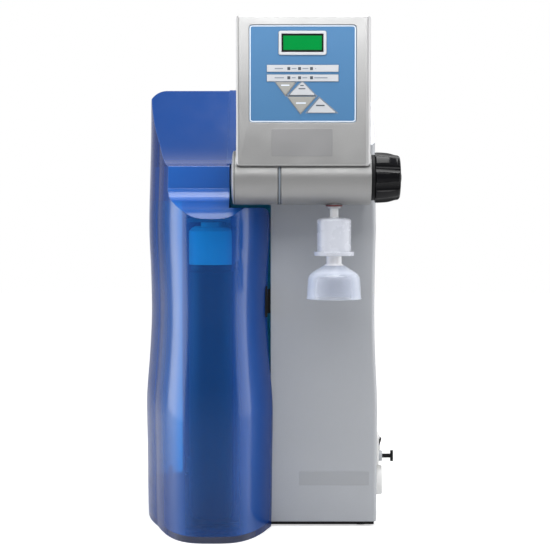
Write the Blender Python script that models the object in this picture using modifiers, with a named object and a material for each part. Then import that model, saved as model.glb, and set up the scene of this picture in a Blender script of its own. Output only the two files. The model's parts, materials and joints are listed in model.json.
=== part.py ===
"""Bench ultrapure water system: cabinet, swing cover, dispensing arm and tilting display head."""
import math

import bmesh
import bpy
from mathutils import Matrix, Vector

# Working axes: X = 0 on the cover column's centre line, Y = 0 at its front, Z = 0 on the bench.
# The model is then centred on its overall box, so its origin is the middle of its footprint.

# Shared clearances, overruns and facets
FIT = 0.0003
RUNNING = 0.0001
OVERRUN = 0.010
ROUND_STEPS = 32
SMALL_STEPS = 20
INSIDE_STEPS = 20
BELL_STEPS = 32
WIDE_STEPS = 40
CORNER_STEPS = 4
SMOOTH_ANGLE = math.radians(35)
MERGE_DISTANCE = 0.00001

# Cabinet as a whole
CABINET_HEIGHT = 0.477
BODY_DEPTH = 0.286
WAIST_LEVEL_SHARES = (0.0, 0.03, 0.15, 0.27, 0.31, 0.37, 0.43, 0.49, 0.58, 0.68, 0.82, 0.90, 1.0)
WAIST_SHARES = (0.30, 0.22, 0.12, 0.0, 0.15, 0.55, 0.85, 1.0, 0.85, 0.55, 0.80, 0.95, 1.0)
RAMP_FRONT = 0.042
RAMP_LENGTH = 0.108
RAMP_RISE = 0.086
RAMP_POWER = 1.45
RAMP_STEPS = 8

# Blue swing cover
COLUMN_HALF_WIDTH = 0.0635
COLUMN_DEPTH = 0.086
COVER_BOW_POWER = 3.2
COVER_BOW_STEPS = 16
COVER_FLARE = 0.0177
COVER_FLARE_LENGTH = 0.090
COVER_FLARE_STEPS = 5
COVER_WAIST = 0.006
COVER_FRONT_WAIST = 0.003
COVER_BOTTOM = 0.0005
COVER_WALL = 0.0025
COVER_RIM_WALL = 0.005
COVER_RIM_HEIGHT = 0.007
COVER_CORNER_RADIUS = 0.016
COVER_STEP_FROM_SIDE = 0.0455
COVER_REAR_SET_IN = 0.006
COLUMN_TOP_DROP = 0.044
COLUMN_TOP_RADIUS = 0.009
SCOOP_LIP_DROP = 0.057
SCOOP_DEPTH_SHARES = (0.0, 0.26, 0.55, 0.83, 0.95, 1.0)
SCOOP_HEIGHT_SHARES = (0.0, 0.175, 0.28, 0.35, 0.45, 0.58)
COVER_GAP = 0.001

# Cover hinge, at the cabinet's rear left corner
HINGE_FROM_REAR = 0.012
HINGE_OUTSIDE_COLUMN = 0.0035
HINGE_PIN_RADIUS = 0.0025
HINGE_LUG_RADIUS = 0.006
HINGE_LUG_HEIGHT = 0.004
HINGE_LOWER_Z = 0.010
HINGE_UPPER_DROP = 0.036
HINGE_PLATE = 0.003
HINGE_PLATE_HALF_DEPTH = 0.004
HINGE_PLATE_WIDTH = 0.034
HINGE_FLANGE_HEIGHT = 0.022
COVER_SWEEP_MARGIN = 0.003

# Cover latch, a finger button in the column's right wall
LATCH_CENTRE_Y = 0.0785
LATCH_DROP = 0.1455
LATCH_LENGTH = 0.034
LATCH_WIDTH = 0.008
LATCH_SET_IN = 0.0002
LATCH_THICKNESS = 0.0045
KEEPER_LENGTH = 0.026
KEEPER_THICKNESS = 0.0015
KEEPER_WIDTH = 0.010
KEEPER_FLANGE = 0.014

# Grey housing
PANEL_TUCK = 0.0025
PANEL_WIDTH = 0.116
PANEL_WAIST = 0.0036
PANEL_WALL = 0.0025
PANEL_CORNER_RADIUS = 0.005
ROOF_CORNER_RADIUS = 0.017
SHELF_DROP = 0.041
HOUSING_BOTTOM = 0.0053
PARTITION_THICKNESS = 0.002
REAR_PANEL_SET_IN = 0.0025
REAR_PANEL_THICKNESS = 0.0025
REAR_PANEL_LEFT_GAP = 0.015
VENT_COUNT = 8
VENT_LENGTH = 0.060
VENT_HEIGHT = 0.003
VENT_PITCH = 0.009
VENT_DROP = 0.177
VENT_FROM_RIGHT = 0.060

# Base plate and feet
BASE_UNDERSIDE = 0.002
BASE_THICKNESS = 0.003
BASE_SET_BACK = 0.0015
BASE_FRONT_CORNER = 0.009
BASE_REAR_SET_IN = 0.002
FOOT_RADIUS = 0.010
FOOT_TAPER = 0.001
FOOT_INSET = 0.018
FOOT_LEFT_INSET = 0.025

# Dispensing arm and barrel
BARREL_RADIUS = 0.0278
BARREL_AXIS_Y = 0.009
BARREL_AXIS_DROP = 0.013
DOME_FROM_SIDE = 0.043
BARREL_DOME = 0.004
LEFT_BARREL_LENGTH = 0.044
SEAM_WIDTH = 0.0035
SEAM_DEPTH = 0.0023
RIGHT_BARREL_LENGTH = 0.0915
BARREL_RUNNING = 0.0008
ARM_SHOULDER_Y = 0.0385
ARM_SHOULDER_DROP = 0.002
ARM_GAP = 0.0003
ARM_CAVITY_WALL = 0.006
HEAD_SHAFT_RADIUS = 0.006
HEAD_SHAFT_GRIP = 0.022

# Dispense valve, collar and knob
VALVE_RADIUS = 0.0175
VALVE_LENGTH = 0.046
COLLAR_RADIUS = 0.0235
COLLAR_THICKNESS = 0.004
SPINDLE_RADIUS = 0.004
SPINDLE_IN_VALVE = 0.014
KNOB_RADIUS = 0.026
KNOB_WAIST_RADIUS = 0.0250
KNOB_END_RADIUS = 0.0230
KNOB_LENGTH = 0.0256
KNOB_EDGE = 0.0033
KNOB_FOOT_EDGE = 0.003
KNOB_FOOT_CHAMFER = 0.001
KNOB_LOBES = 8
KNOB_SCALLOP_RADIUS = 0.008
KNOB_SCALLOP_DEPTH = 0.0022
KNOB_CAP_RADIUS = 0.0075
KNOB_CAP_PROUD = 0.002
KNOB_CAP_SEAT = 0.0015
KNOB_CAP_EDGE = 0.0007
KNOB_CAP_CROWN = 0.0002

# Outlet and point-of-use filter
OUTLET_FROM_KNOB_END = 0.037
OUTLET_BOSS_RADIUS = 0.0065
OUTLET_BORE_RADIUS = 0.0036
OUTLET_RING_RADIUS = 0.00875
OUTLET_RING_HEIGHT = 0.0035
STEM_RADIUS = 0.0045
STEM_FLARE_RADIUS = 0.0055
STEM_SPIGOT_RADIUS = 0.0033
STEM_SPIGOT = 0.010
STEM_LENGTH = 0.0100
CAPSULE_RADIUS = 0.0175
CAPSULE_LENGTH = 0.0349
CAPSULE_SHOULDER = 0.003
FLANGE_RADIUS = 0.0207
FLANGE_HEIGHT = 0.004
NECK_RADIUS = 0.0079
NECK_LENGTH = 0.0087
BELL_CONE_RADIUS = 0.0238
BELL_CONE_DROP = 0.0084
BELL_SHOULDER_RADIUS = 0.0269
BELL_SHOULDER_DROP = 0.0148
BELL_MOUTH_RADIUS = 0.0279
BELL_RIM_RADIUS = 0.0285
BELL_HEIGHT = 0.0346
BELL_WALL = 0.0012
BELL_RIM_HEIGHT = 0.0012
NOZZLE_RADIUS = 0.0043
NOZZLE_BORE_RADIUS = 0.0025
NOZZLE_LIP_RADIUS = 0.0105
NOZZLE_LENGTH = 0.0120
NOZZLE_LIP = 0.0022
NOZZLE_LIP_CUP = 0.0011

# Display head
HEAD_LEFT_INSET = 0.0060
HEAD_WIDTH = 0.1358
HEAD_HEIGHT = 0.1523
HEAD_THICKNESS = 0.045
HEAD_FORWARD = 0.031
HEAD_RISE = 0.011
HEAD_EDGE = 0.003
HEAD_CORNER_RADIUS = 0.004
HEAD_WALL = 0.0025
HEAD_FRONT_WALL = 0.0045
HEAD_BARREL_GAP = 0.0015
HEAD_COVER_THICKNESS = 0.0025
HEAD_SADDLE_WIDTH = 0.028
HEAD_SADDLE_DEPTH = 0.014
HEAD_SADDLE_RISE = 0.012

# Keypad panel and what lies on it
KEYPAD_LEFT = 0.0129
KEYPAD_DROP = 0.0103
KEYPAD_WIDTH = 0.1083
KEYPAD_HEIGHT = 0.0982
KEYPAD_RADIUS = 0.0035
KEYPAD_RECESS = 0.0026
KEYPAD_SUNK = 0.0006
BEZEL_LEFT = 0.0300
BEZEL_DROP = 0.0062
BEZEL_WIDTH = 0.0479
BEZEL_HEIGHT = 0.0241
BEZEL_FRAME = 0.0028
BEZEL_RADIUS = 0.0020
BEZEL_PROUD = 0.0008
WINDOW_THICKNESS = 0.0010
WINDOW_SUNK = 0.0006
STRIP_LEFT = 0.0182
STRIP_WIDTH = 0.0719
STRIP_HEIGHT = 0.0068
STRIP_PITCH = 0.0096
STRIP_DROP = 0.0404
STRIP_THICKNESS = 0.0009
STRIP_POCKET = 0.0006
KEY_CORNER = 0.0005
KEY_PROUD = 0.0008
KEY_SUNK = 0.0004
KEY_TRAVEL = 0.0005
KEY_WALL_GAP = 0.0003
KEY_SHARES = {
    "key_down_left": ((0.2484, 0.4134), (0.3407, 0.2780), (0.4331, 0.4134)),
    "key_up_left": ((0.4958, 0.4175), (0.3740, 0.2821), (0.6140, 0.2821)),
    "key_down_right": ((0.3610, 0.2648), (0.4792, 0.0927), (0.6223, 0.2648)),
    "key_up_right": ((0.6556, 0.2505), (0.5420, 0.1018), (0.8116, 0.1018)),
}
BOARD_THICKNESS = 0.0016
BOARD_BEHIND_PANEL = 0.010
MODULE_MARGIN = 0.002

# Cartridges in the bay
FRONT_CARTRIDGE_RADIUS = 0.025
REAR_CARTRIDGE_RADIUS = 0.027
CARTRIDGE_X = -0.003
FRONT_CARTRIDGE_Y = 0.096
CARTRIDGE_PITCH = 0.078
CARTRIDGE_BOTTOM = 0.010
CARTRIDGE_TOP_DROP = 0.049
CARTRIDGE_TOE = 0.006
CARTRIDGE_GROOVE = 0.002
CARTRIDGE_CAP_CHAMFER = 0.004
HEAD_CAP_HEIGHT = 0.040
HEAD_CAP_NECK_RADIUS = 0.012
HEAD_CAP_NECK = 0.0055
BRACKET_THICKNESS = 0.004
BRACKET_LEFT = 0.029
BRACKET_FLANGE = 0.012
BRACKET_FRONT = 0.010
BRACKET_BEHIND = 0.034

# Inside the grey compartment
MOTOR_RADIUS = 0.030
MOTOR_HEIGHT = 0.080
MOTOR_FOOT = 0.004
MOTOR_RIB_DEPTH = 0.0015
MOTOR_RIB = 0.010
MOTOR_RIBS = 3
PUMP_RADIUS = 0.026
PUMP_HEIGHT = 0.034
PUMP_PORT_RADIUS = 0.006
PUMP_PORT_LENGTH = 0.012
PUMP_FROM_REAR = 0.130
PUMP_FROM_LEFT = 0.055
REACTOR_RADIUS = 0.022
REACTOR_LENGTH = 0.300
REACTOR_CAP = 0.012
REACTOR_CAP_PROUD = 0.0025
REACTOR_FROM_FRONT = 0.046
REACTOR_FROM_LEFT = 0.036
ULTRAFILTER_RADIUS = 0.018
ULTRAFILTER_LENGTH = 0.240
ULTRAFILTER_FROM_FRONT = 0.032
ULTRAFILTER_FROM_LEFT = 0.083
SUPPLY_WIDTH = 0.086
SUPPLY_DEPTH = 0.056
SUPPLY_HEIGHT = 0.110
SUPPLY_FROM_REAR = 0.012
SUPPLY_FROM_LEFT = 0.014
SUPPLY_EDGE = 0.002

# Right side fittings
PLATE_Z = 0.058
PLATE_HEIGHT = 0.0365
PLATE_FROM_PANEL = 0.044
PLATE_LENGTH = 0.086
PLATE_THICKNESS = 0.0060
PLATE_STANDOFF = 0.0003
PLATE_CORNER = 0.006
HANDLE_FROM_PLATE_FRONT = 0.013
HANDLE_RISE = 0.0098
DRAIN_BOSS_RADIUS = 0.0060
DRAIN_BOSS_PROUD = 0.0025
DRAIN_BODY_LENGTH = 0.016
DRAIN_SHAFT_RADIUS = 0.0024
DRAIN_SHAFT_LENGTH = 0.0095
DRAIN_SHAFT_IN = 0.008
DRAIN_BAR_THICKNESS = 0.003
DRAIN_BAR_LENGTH = 0.0124
DRAIN_BAR_WIDTH = 0.0052
DRAIN_BAR_CORNER = 0.0021
SWITCH_FROM_PLATE_FRONT = 0.034
SWITCH_WIDTH = 0.013
SWITCH_HEIGHT = 0.0175
SWITCH_DEPTH = 0.0075
SWITCH_PROUD = 0.0012
SWITCH_AXLE_DEPTH = 0.004
SWITCH_AXLE_RADIUS = 0.0012
SWITCH_POCKET = 0.010
SWITCH_TILT = math.radians(8)
ENTRY_RISE = 0.0005
ENTRY_PROUD = 0.0008
ENTRY_WALL = 0.003
INLET_FROM_PLATE_FRONT = 0.063
INLET_HEIGHT = 0.0225
INLET_SOCKET_WIDTH = 0.0245
INLET_SOCKET_HEIGHT = 0.0165
INLET_DEPTH = 0.020
INLET_SOCKET_DEPTH = 0.0165
PORT_Z = 0.0395
PORT_FROM_PANEL = 0.064
PORT_RADIUS = 0.013
PORT_BORE_RADIUS = 0.009
PORT_LENGTH = 0.016
PORT_PROUD = 0.0068
CAP_RADIUS = 0.0165
CAP_PROUD = 0.0094
CAP_WALL = 0.002
CAP_GAP = 0.0006

# Rear water fittings
FITTING_NAMES = ("feed_water_fitting", "reject_water_fitting", "tank_return_fitting")
FITTING_RADIUS = 0.0085
FITTING_NUT_SIDES = 6
FITTING_NUT_RADIUS = 0.0115
FITTING_NUT = 0.006
FITTING_BORE_RADIUS = 0.0034
FITTING_INSIDE = 0.010
FITTING_PROUD = 0.016
FITTING_PITCH = 0.034
FITTING_FROM_LEFT = 0.031
FITTING_Z = 0.150

# Places that follow from the sizes above
PANEL_FRONT = COLUMN_DEPTH
RAMP_LOW = CABINET_HEIGHT - RAMP_RISE
SCOOP_LIP = RAMP_LOW - SCOOP_LIP_DROP
COLUMN_TOP = RAMP_LOW - COLUMN_TOP_DROP
SHELF_Z = RAMP_LOW - SHELF_DROP
BARREL_AXIS_Z = RAMP_LOW - BARREL_AXIS_DROP
ARM_SHOULDER_Z = RAMP_LOW - ARM_SHOULDER_DROP
LATCH_CENTRE_Z = RAMP_LOW - LATCH_DROP
CARTRIDGE_TOP = SCOOP_LIP - CARTRIDGE_TOP_DROP
VENT_CENTRE_Z = CABINET_HEIGHT - VENT_DROP
HINGE_UPPER_Z = CABINET_HEIGHT - HINGE_UPPER_DROP
COVER_STEP_X = COLUMN_HALF_WIDTH - COVER_STEP_FROM_SIDE
REAR_Y = PANEL_FRONT + BODY_DEPTH
COVER_REAR = REAR_Y - COVER_REAR_SET_IN
COVER_LEFT = -(COLUMN_HALF_WIDTH + COVER_FLARE)
PANEL_LEFT = COLUMN_HALF_WIDTH - PANEL_TUCK
PANEL_RIGHT = PANEL_LEFT + PANEL_WIDTH
UPPER_LEFT = COVER_STEP_X + COVER_GAP
HINGE_X = -(COLUMN_HALF_WIDTH + HINGE_OUTSIDE_COLUMN)
HINGE_Y = REAR_Y - HINGE_FROM_REAR
REAR_PANEL_Y = REAR_Y - REAR_PANEL_SET_IN - REAR_PANEL_THICKNESS
REAR_PANEL_LEFT = HINGE_X + REAR_PANEL_LEFT_GAP
BASE_TOP = BASE_UNDERSIDE + BASE_THICKNESS
FITTING_FIRST_X = PANEL_LEFT + FITTING_FROM_LEFT
DOME_LEFT = COLUMN_HALF_WIDTH - DOME_FROM_SIDE
BARREL_LEFT = DOME_LEFT + BARREL_DOME
SEAM_LEFT = BARREL_LEFT + LEFT_BARREL_LENGTH
SEAM_RIGHT = SEAM_LEFT + SEAM_WIDTH
BARREL_RIGHT = SEAM_RIGHT + RIGHT_BARREL_LENGTH
KNOB_INNER = BARREL_RIGHT + COLLAR_THICKNESS + FIT + FIT
KNOB_OUTER = KNOB_INNER + KNOB_LENGTH
OUTLET_X = BARREL_RIGHT - OUTLET_FROM_KNOB_END
BARREL_UNDERSIDE = BARREL_AXIS_Z - BARREL_RADIUS
HEAD_LEFT = DOME_LEFT + HEAD_LEFT_INSET
HEAD_RIGHT = HEAD_LEFT + HEAD_WIDTH
HEAD_FRONT = BARREL_AXIS_Y - HEAD_FORWARD
HEAD_REAR = HEAD_FRONT + HEAD_THICKNESS
HEAD_BOTTOM = BARREL_AXIS_Z + HEAD_RISE
HEAD_TOP = HEAD_BOTTOM + HEAD_HEIGHT
KEYPAD_X = HEAD_LEFT + KEYPAD_LEFT
KEYPAD_TOP = HEAD_TOP - KEYPAD_DROP
KEYPAD_Z = KEYPAD_TOP - KEYPAD_HEIGHT
KEYPAD_FRONT = HEAD_FRONT + KEYPAD_SUNK
RECESS_FLOOR = HEAD_FRONT + KEYPAD_RECESS
PLATE_Y = PANEL_FRONT + PLATE_FROM_PANEL
PLATE_INNER = PANEL_RIGHT + PLATE_STANDOFF
PLATE_OUTER = PLATE_INNER + PLATE_THICKNESS
HANDLE_Y = PLATE_Y + HANDLE_FROM_PLATE_FRONT
HANDLE_Z = PLATE_Z + HANDLE_RISE
DRAIN_BOSS_END = PLATE_OUTER + DRAIN_BOSS_PROUD
DRAIN_TIP = DRAIN_BOSS_END + DRAIN_SHAFT_LENGTH + DRAIN_BAR_THICKNESS
FITTING_TIP = REAR_PANEL_Y + REAR_PANEL_THICKNESS + FITTING_PROUD
HEAD_AXIS = Vector((SEAM_LEFT, BARREL_AXIS_Y, BARREL_AXIS_Z))
CENTRE = Vector(((COVER_LEFT + DRAIN_TIP) / 2, (HEAD_FRONT - BEZEL_PROUD + KEYPAD_SUNK + FITTING_TIP) / 2, 0))


class Pivot:
    """An empty on a joint's axis, which carries the pieces that turn or slide with it."""

    def __init__(self, name, at):
        self.at = Vector(at)
        self.empty = bpy.data.objects.new(name, None)
        self.empty.location = self.at - CENTRE
        PARTS.objects.link(self.empty)


def collection(name):
    group = bpy.data.collections.new(name)
    bpy.context.scene.collection.children.link(group)
    return group


def finish(name, colour, roughness, metallic=0.0, alpha=1.0):
    """A Principled material; colour is in linear values."""
    material = bpy.data.materials.new(name)
    material.use_nodes = True
    shader = material.node_tree.nodes["Principled BSDF"]
    shader.inputs["Base Color"].default_value = (*colour, 1.0)
    shader.inputs["Roughness"].default_value = roughness
    shader.inputs["Metallic"].default_value = metallic
    shader.inputs["Alpha"].default_value = alpha
    material.diffuse_color = (*colour, alpha)
    return material


def place(name, mesh, at, material=None, pivot=None):
    """Link a mesh as an object: with a material it is a part, without one it is a cutter."""
    obj = bpy.data.objects.new(name, mesh)
    if pivot:
        obj.parent = pivot.empty
        obj.location = Vector(at) - pivot.at
    else:
        obj.location = Vector(at) - CENTRE
    if material:
        mesh.materials.append(material)
        PARTS.objects.link(obj)
    else:
        obj.display_type = "WIRE"
        obj.hide_render = True
        CUTTERS.objects.link(obj)
    return obj


def boolean(target, tool, operation):
    """Combine the target with a tool object, which stays as a guide."""
    step = target.modifiers.new(tool.name, "BOOLEAN")
    step.operation = operation
    step.object = tool
    return target


def cut(target, *tools):
    for tool in tools:
        boolean(target, tool, "DIFFERENCE")
    return target


def fuse(target, *tools):
    for tool in tools:
        boolean(target, tool, "UNION")
    return target


def trim(target, *tools):
    for tool in tools:
        boolean(target, tool, "INTERSECT")
    return target


def bevel(obj, width, segments=2):
    step = obj.modifiers.new("edges", "BEVEL")
    step.width = width
    step.segments = segments
    step.limit_method = "ANGLE"
    step.angle_limit = SMOOTH_ANGLE
    return obj


def mesh_from(name, shape, sharp=True):
    """Turn a bmesh into a mesh with outward faces and smooth round sides."""
    bmesh.ops.recalc_face_normals(shape, faces=shape.faces)
    mesh = bpy.data.meshes.new(name)
    shape.to_mesh(mesh)
    shape.free()
    mesh.shade_smooth()
    if sharp:
        mesh.set_sharp_from_angle(angle=SMOOTH_ANGLE)
    return mesh


def box(name, low, high, material=None, pivot=None):
    low, high = Vector(low), Vector(high)
    shape = bmesh.new()
    bmesh.ops.create_cube(shape, size=1.0)
    bmesh.ops.scale(shape, vec=high - low, verts=shape.verts)
    return place(name, mesh_from(name, shape), (low + high) / 2, material, pivot)


TURN_TO = {
    "X": Matrix.Rotation(math.radians(90), 3, "Y"),
    "Y": Matrix.Rotation(math.radians(-90), 3, "X"),
    "Z": Matrix.Identity(3),
}
ALONG = {"X": Vector((1, 0, 0)), "Y": Vector((0, 1, 0)), "Z": Vector((0, 0, 1))}


def rod(name, start, axis, length, radius, material=None, pivot=None, end_radius=None, steps=ROUND_STEPS):
    """A cylinder or cone frustum from its start point along an axis."""
    shape = bmesh.new()
    far = radius if end_radius is None else end_radius
    bmesh.ops.create_cone(shape, cap_ends=True, segments=steps, radius1=radius, radius2=far, depth=length)
    bmesh.ops.rotate(shape, matrix=TURN_TO[axis], verts=shape.verts)
    middle = Vector(start) + ALONG[axis] * (length / 2)
    return place(name, mesh_from(name, shape), middle, material, pivot)


def turned(name, profile, start, axis, material=None, pivot=None, ring=False, steps=ROUND_STEPS):
    """Revolve (radius, distance along) pairs, listed down the outer side from the far end."""
    mesh = bpy.data.meshes.new(name)
    edges = [(i, i + 1) for i in range(len(profile) - 1)]
    if ring:
        edges.append((len(profile) - 1, 0))
    mesh.from_pydata([(radius, 0, along) for radius, along in profile], edges, [])
    obj = place(name, mesh, start, material, pivot)
    obj.rotation_euler = TURN_TO[axis].to_euler()
    step = obj.modifiers.new("turn", "SCREW")
    step.steps = steps
    step.render_steps = steps
    step.use_merge_vertices = True
    step.merge_threshold = MERGE_DISTANCE
    step.use_smooth_shade = True
    return obj


PLANES = {
    "XY": (lambda a, b: (a, b, 0), Vector((0, 0, 1))),
    "XZ": (lambda a, b: (a, 0, b), Vector((0, 1, 0))),
    "YZ": (lambda a, b: (0, a, b), Vector((1, 0, 0))),
}


def prism(name, outline, plane, start, depth, material=None, pivot=None):
    """Extrude a flat outline from start to start + depth along its plane's normal."""
    to_space, normal = PLANES[plane]
    shape = bmesh.new()
    face = shape.faces.new([shape.verts.new(to_space(a, b)) for a, b in outline])
    extruded = bmesh.ops.extrude_face_region(shape, geom=[face])["geom"]
    moved = [item for item in extruded if isinstance(item, bmesh.types.BMVert)]
    bmesh.ops.translate(shape, vec=normal * depth, verts=moved)
    return place(name, mesh_from(name, shape), normal * start, material, pivot)


def loft(name, rings, material=None, pivot=None):
    """Skin a stack of equal-count rings and close both ends."""
    shape = bmesh.new()
    levels = [[shape.verts.new(point) for point in ring] for ring in rings]
    for lower, upper in zip(levels, levels[1:]):
        for i in range(len(lower)):
            j = (i + 1) % len(lower)
            shape.faces.new((lower[i], lower[j], upper[j], upper[i]))
    shape.faces.new(list(reversed(levels[0])))
    shape.faces.new(levels[-1])
    return place(name, mesh_from(name, shape), (0, 0, 0), material, pivot)


def arc(centre, radius, start, end, steps):
    """Points on a circle between two angles in degrees."""
    points = []
    for i in range(steps + 1):
        angle = math.radians(start + (end - start) * i / steps)
        points.append((centre[0] + radius * math.cos(angle), centre[1] + radius * math.sin(angle)))
    return points


def rounded(outline, radius, steps=CORNER_STEPS):
    """Round every corner of a convex outline with an arc."""
    points = []
    count = len(outline)
    for i in range(count):
        before, here, after = (Vector(outline[(i + k) % count]) for k in (-1, 0, 1))
        to_before, to_after = (before - here).normalized(), (after - here).normalized()
        half = to_before.angle(to_after) / 2
        centre = here + (to_before + to_after).normalized() * (radius / math.sin(half))
        first = here + to_before * (radius / math.tan(half)) - centre
        last = here + to_after * (radius / math.tan(half)) - centre
        sweep = first.angle_signed(last)
        for k in range(steps + 1):
            turn = Matrix.Rotation(-sweep * k / steps, 2)
            points.append(tuple(centre + turn @ first))
    return points


def inset(outline, distance):
    """Move a counter-clockwise outline inwards by a distance, with mitred corners."""
    points = []
    count = len(outline)
    for i in range(count):
        before, here, after = (Vector(outline[(i + k) % count]) for k in (-1, 0, 1))
        along_in, along_out = (here - before).normalized(), (after - here).normalized()
        normal_in = Vector((-along_in.y, along_in.x))
        normal_out = Vector((-along_out.y, along_out.x))
        mitre = (normal_in + normal_out).normalized()
        points.append(tuple(here + mitre * (distance / mitre.dot(normal_in))))
    return points


def waist(z):
    """How far, as a share, the sides draw in at a height: a smooth curve through the table."""
    share = min(max(z / CABINET_HEIGHT, 0.0), 1.0)
    levels, values = WAIST_LEVEL_SHARES, WAIST_SHARES
    i = max(k for k in range(len(levels) - 1) if levels[k] <= share)
    span = levels[i + 1] - levels[i]
    t = (share - levels[i]) / span
    start_slope, end_slope = (span * table_slope(levels, values, k) for k in (i, i + 1))
    cubic = 2 * (values[i] - values[i + 1]) + start_slope + end_slope
    square = 3 * (values[i + 1] - values[i]) - 2 * start_slope - end_slope
    return values[i] + start_slope * t + square * t ** 2 + cubic * t ** 3


def table_slope(levels, values, k):
    """The table's slope at one of its levels, from its neighbours."""
    low, high = max(k - 1, 0), min(k + 1, len(levels) - 1)
    return (values[high] - values[low]) / (levels[high] - levels[low])


def waist_levels(bottom, top):
    """Heights for a loft's rings, between a bottom and a top that lie past the cabinet's table."""
    inner = [share * CABINET_HEIGHT for share in WAIST_LEVEL_SHARES]
    return [bottom] + [z for z in inner if bottom < z < top] + [top]


def right_wall(z):
    return PANEL_RIGHT - PANEL_WAIST * waist(z)


def ramp_z(y):
    share = min(max((y - RAMP_FRONT) / RAMP_LENGTH, 0.0), 1.0)
    return RAMP_LOW + (CABINET_HEIGHT - RAMP_LOW) * share ** RAMP_POWER


def ramp_points(from_y):
    """Side-view points up the ramp, from a depth to its top edge."""
    depths = [RAMP_FRONT + RAMP_LENGTH * i / RAMP_STEPS for i in range(RAMP_STEPS + 1)]
    return [(from_y, ramp_z(from_y))] + [(y, ramp_z(y)) for y in depths if y > from_y]


def side_outline(front, bottom, rear, start_points):
    """Side view of a cabinet piece, counter-clockwise: bottom, rear, roof, then down its front."""
    return [(front, bottom), (rear, bottom), (rear, CABINET_HEIGHT)] + list(reversed(start_points))


def cover_section(z, rear):
    """Plan outline of the cover at a height, counter-clockwise from the rear right corner."""
    half = COLUMN_HALF_WIDTH - COVER_WAIST * waist(z)
    front = COVER_FRONT_WAIST * waist(z)
    bow = []
    for i in range(COVER_BOW_STEPS + 1):
        across = math.sin(math.pi * (i / COVER_BOW_STEPS - 0.5))
        bow.append((half * across, front + (COLUMN_DEPTH - front) * abs(across) ** COVER_BOW_POWER))
    flare = []
    for i in range(1, COVER_FLARE_STEPS + 1):
        share = i / COVER_FLARE_STEPS
        drawn = COVER_FLARE * (1 - (1 - share) ** 2)
        flare.append((-half - drawn, COLUMN_DEPTH + COVER_FLARE_LENGTH * share))
    return [(half, rear), (-half - COVER_FLARE, rear)] + list(reversed(flare)) + bow


def cover_loft(name, rear, rings, material=None, pivot=None):
    """Skin the cover's plan sections; rings are (height, inset) pairs."""
    stack = []
    for z, depth in rings:
        section = inset(cover_section(z, rear + depth), depth)
        stack.append([(x, y, z) for x, y in section])
    return loft(name, stack, material, pivot)


def scoop_points():
    """Side-view points of the scoop, from its lip at the front to the foot of its rear wall."""
    rise = RAMP_LOW - SCOOP_LIP
    pairs = zip(SCOOP_DEPTH_SHARES, SCOOP_HEIGHT_SHARES)
    return [(depth * RAMP_FRONT, SCOOP_LIP + height * rise) for depth, height in pairs]


def cover_outline():
    """Front view of the cover above its column, counter-clockwise, with its rounded corners."""
    far = COLUMN_HALF_WIDTH + COVER_FLARE + OVERRUN
    left = COVER_LEFT + COVER_WAIST * waist(CABINET_HEIGHT)
    top_corner = (left + COVER_CORNER_RADIUS, CABINET_HEIGHT - COVER_CORNER_RADIUS)
    shoulder_z = COLUMN_TOP - COLUMN_TOP_RADIUS
    shoulder_x = COLUMN_HALF_WIDTH - COVER_WAIST * waist(shoulder_z)
    outline = [(-far, -OVERRUN), (far, -OVERRUN), (far, shoulder_z)]
    outline += arc((shoulder_x - COLUMN_TOP_RADIUS, shoulder_z), COLUMN_TOP_RADIUS, 0, 90, CORNER_STEPS)
    outline += [(COVER_STEP_X, COLUMN_TOP), (COVER_STEP_X, CABINET_HEIGHT)]
    outline += arc(top_corner, COVER_CORNER_RADIUS, 90, 180, CORNER_STEPS)
    return outline + [(-far, CABINET_HEIGHT - COVER_CORNER_RADIUS)]


def inner_cover_outline():
    """The cover's front view, drawn in by the wall at its roof, step and corners."""
    far = COLUMN_HALF_WIDTH + COVER_FLARE + OVERRUN
    left = COVER_LEFT + COVER_WAIST * waist(CABINET_HEIGHT)
    top_corner = (left + COVER_CORNER_RADIUS, CABINET_HEIGHT - COVER_CORNER_RADIUS)
    shoulder_z = COLUMN_TOP - COLUMN_TOP_RADIUS
    shoulder_x = COLUMN_HALF_WIDTH - COVER_WAIST * waist(shoulder_z)
    corner = COLUMN_TOP_RADIUS - COVER_WALL
    outline = [(-far, -OVERRUN), (far, -OVERRUN), (far, shoulder_z)]
    outline += arc((shoulder_x - COLUMN_TOP_RADIUS, shoulder_z), corner, 0, 90, CORNER_STEPS)
    outline += [(COVER_STEP_X - COVER_WALL, COLUMN_TOP - COVER_WALL)]
    outline += [(COVER_STEP_X - COVER_WALL, CABINET_HEIGHT - COVER_WALL)]
    outline += arc(top_corner, COVER_CORNER_RADIUS - COVER_WALL, 90, 180, CORNER_STEPS)
    return outline + [(-far, CABINET_HEIGHT - COVER_CORNER_RADIUS)]


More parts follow.
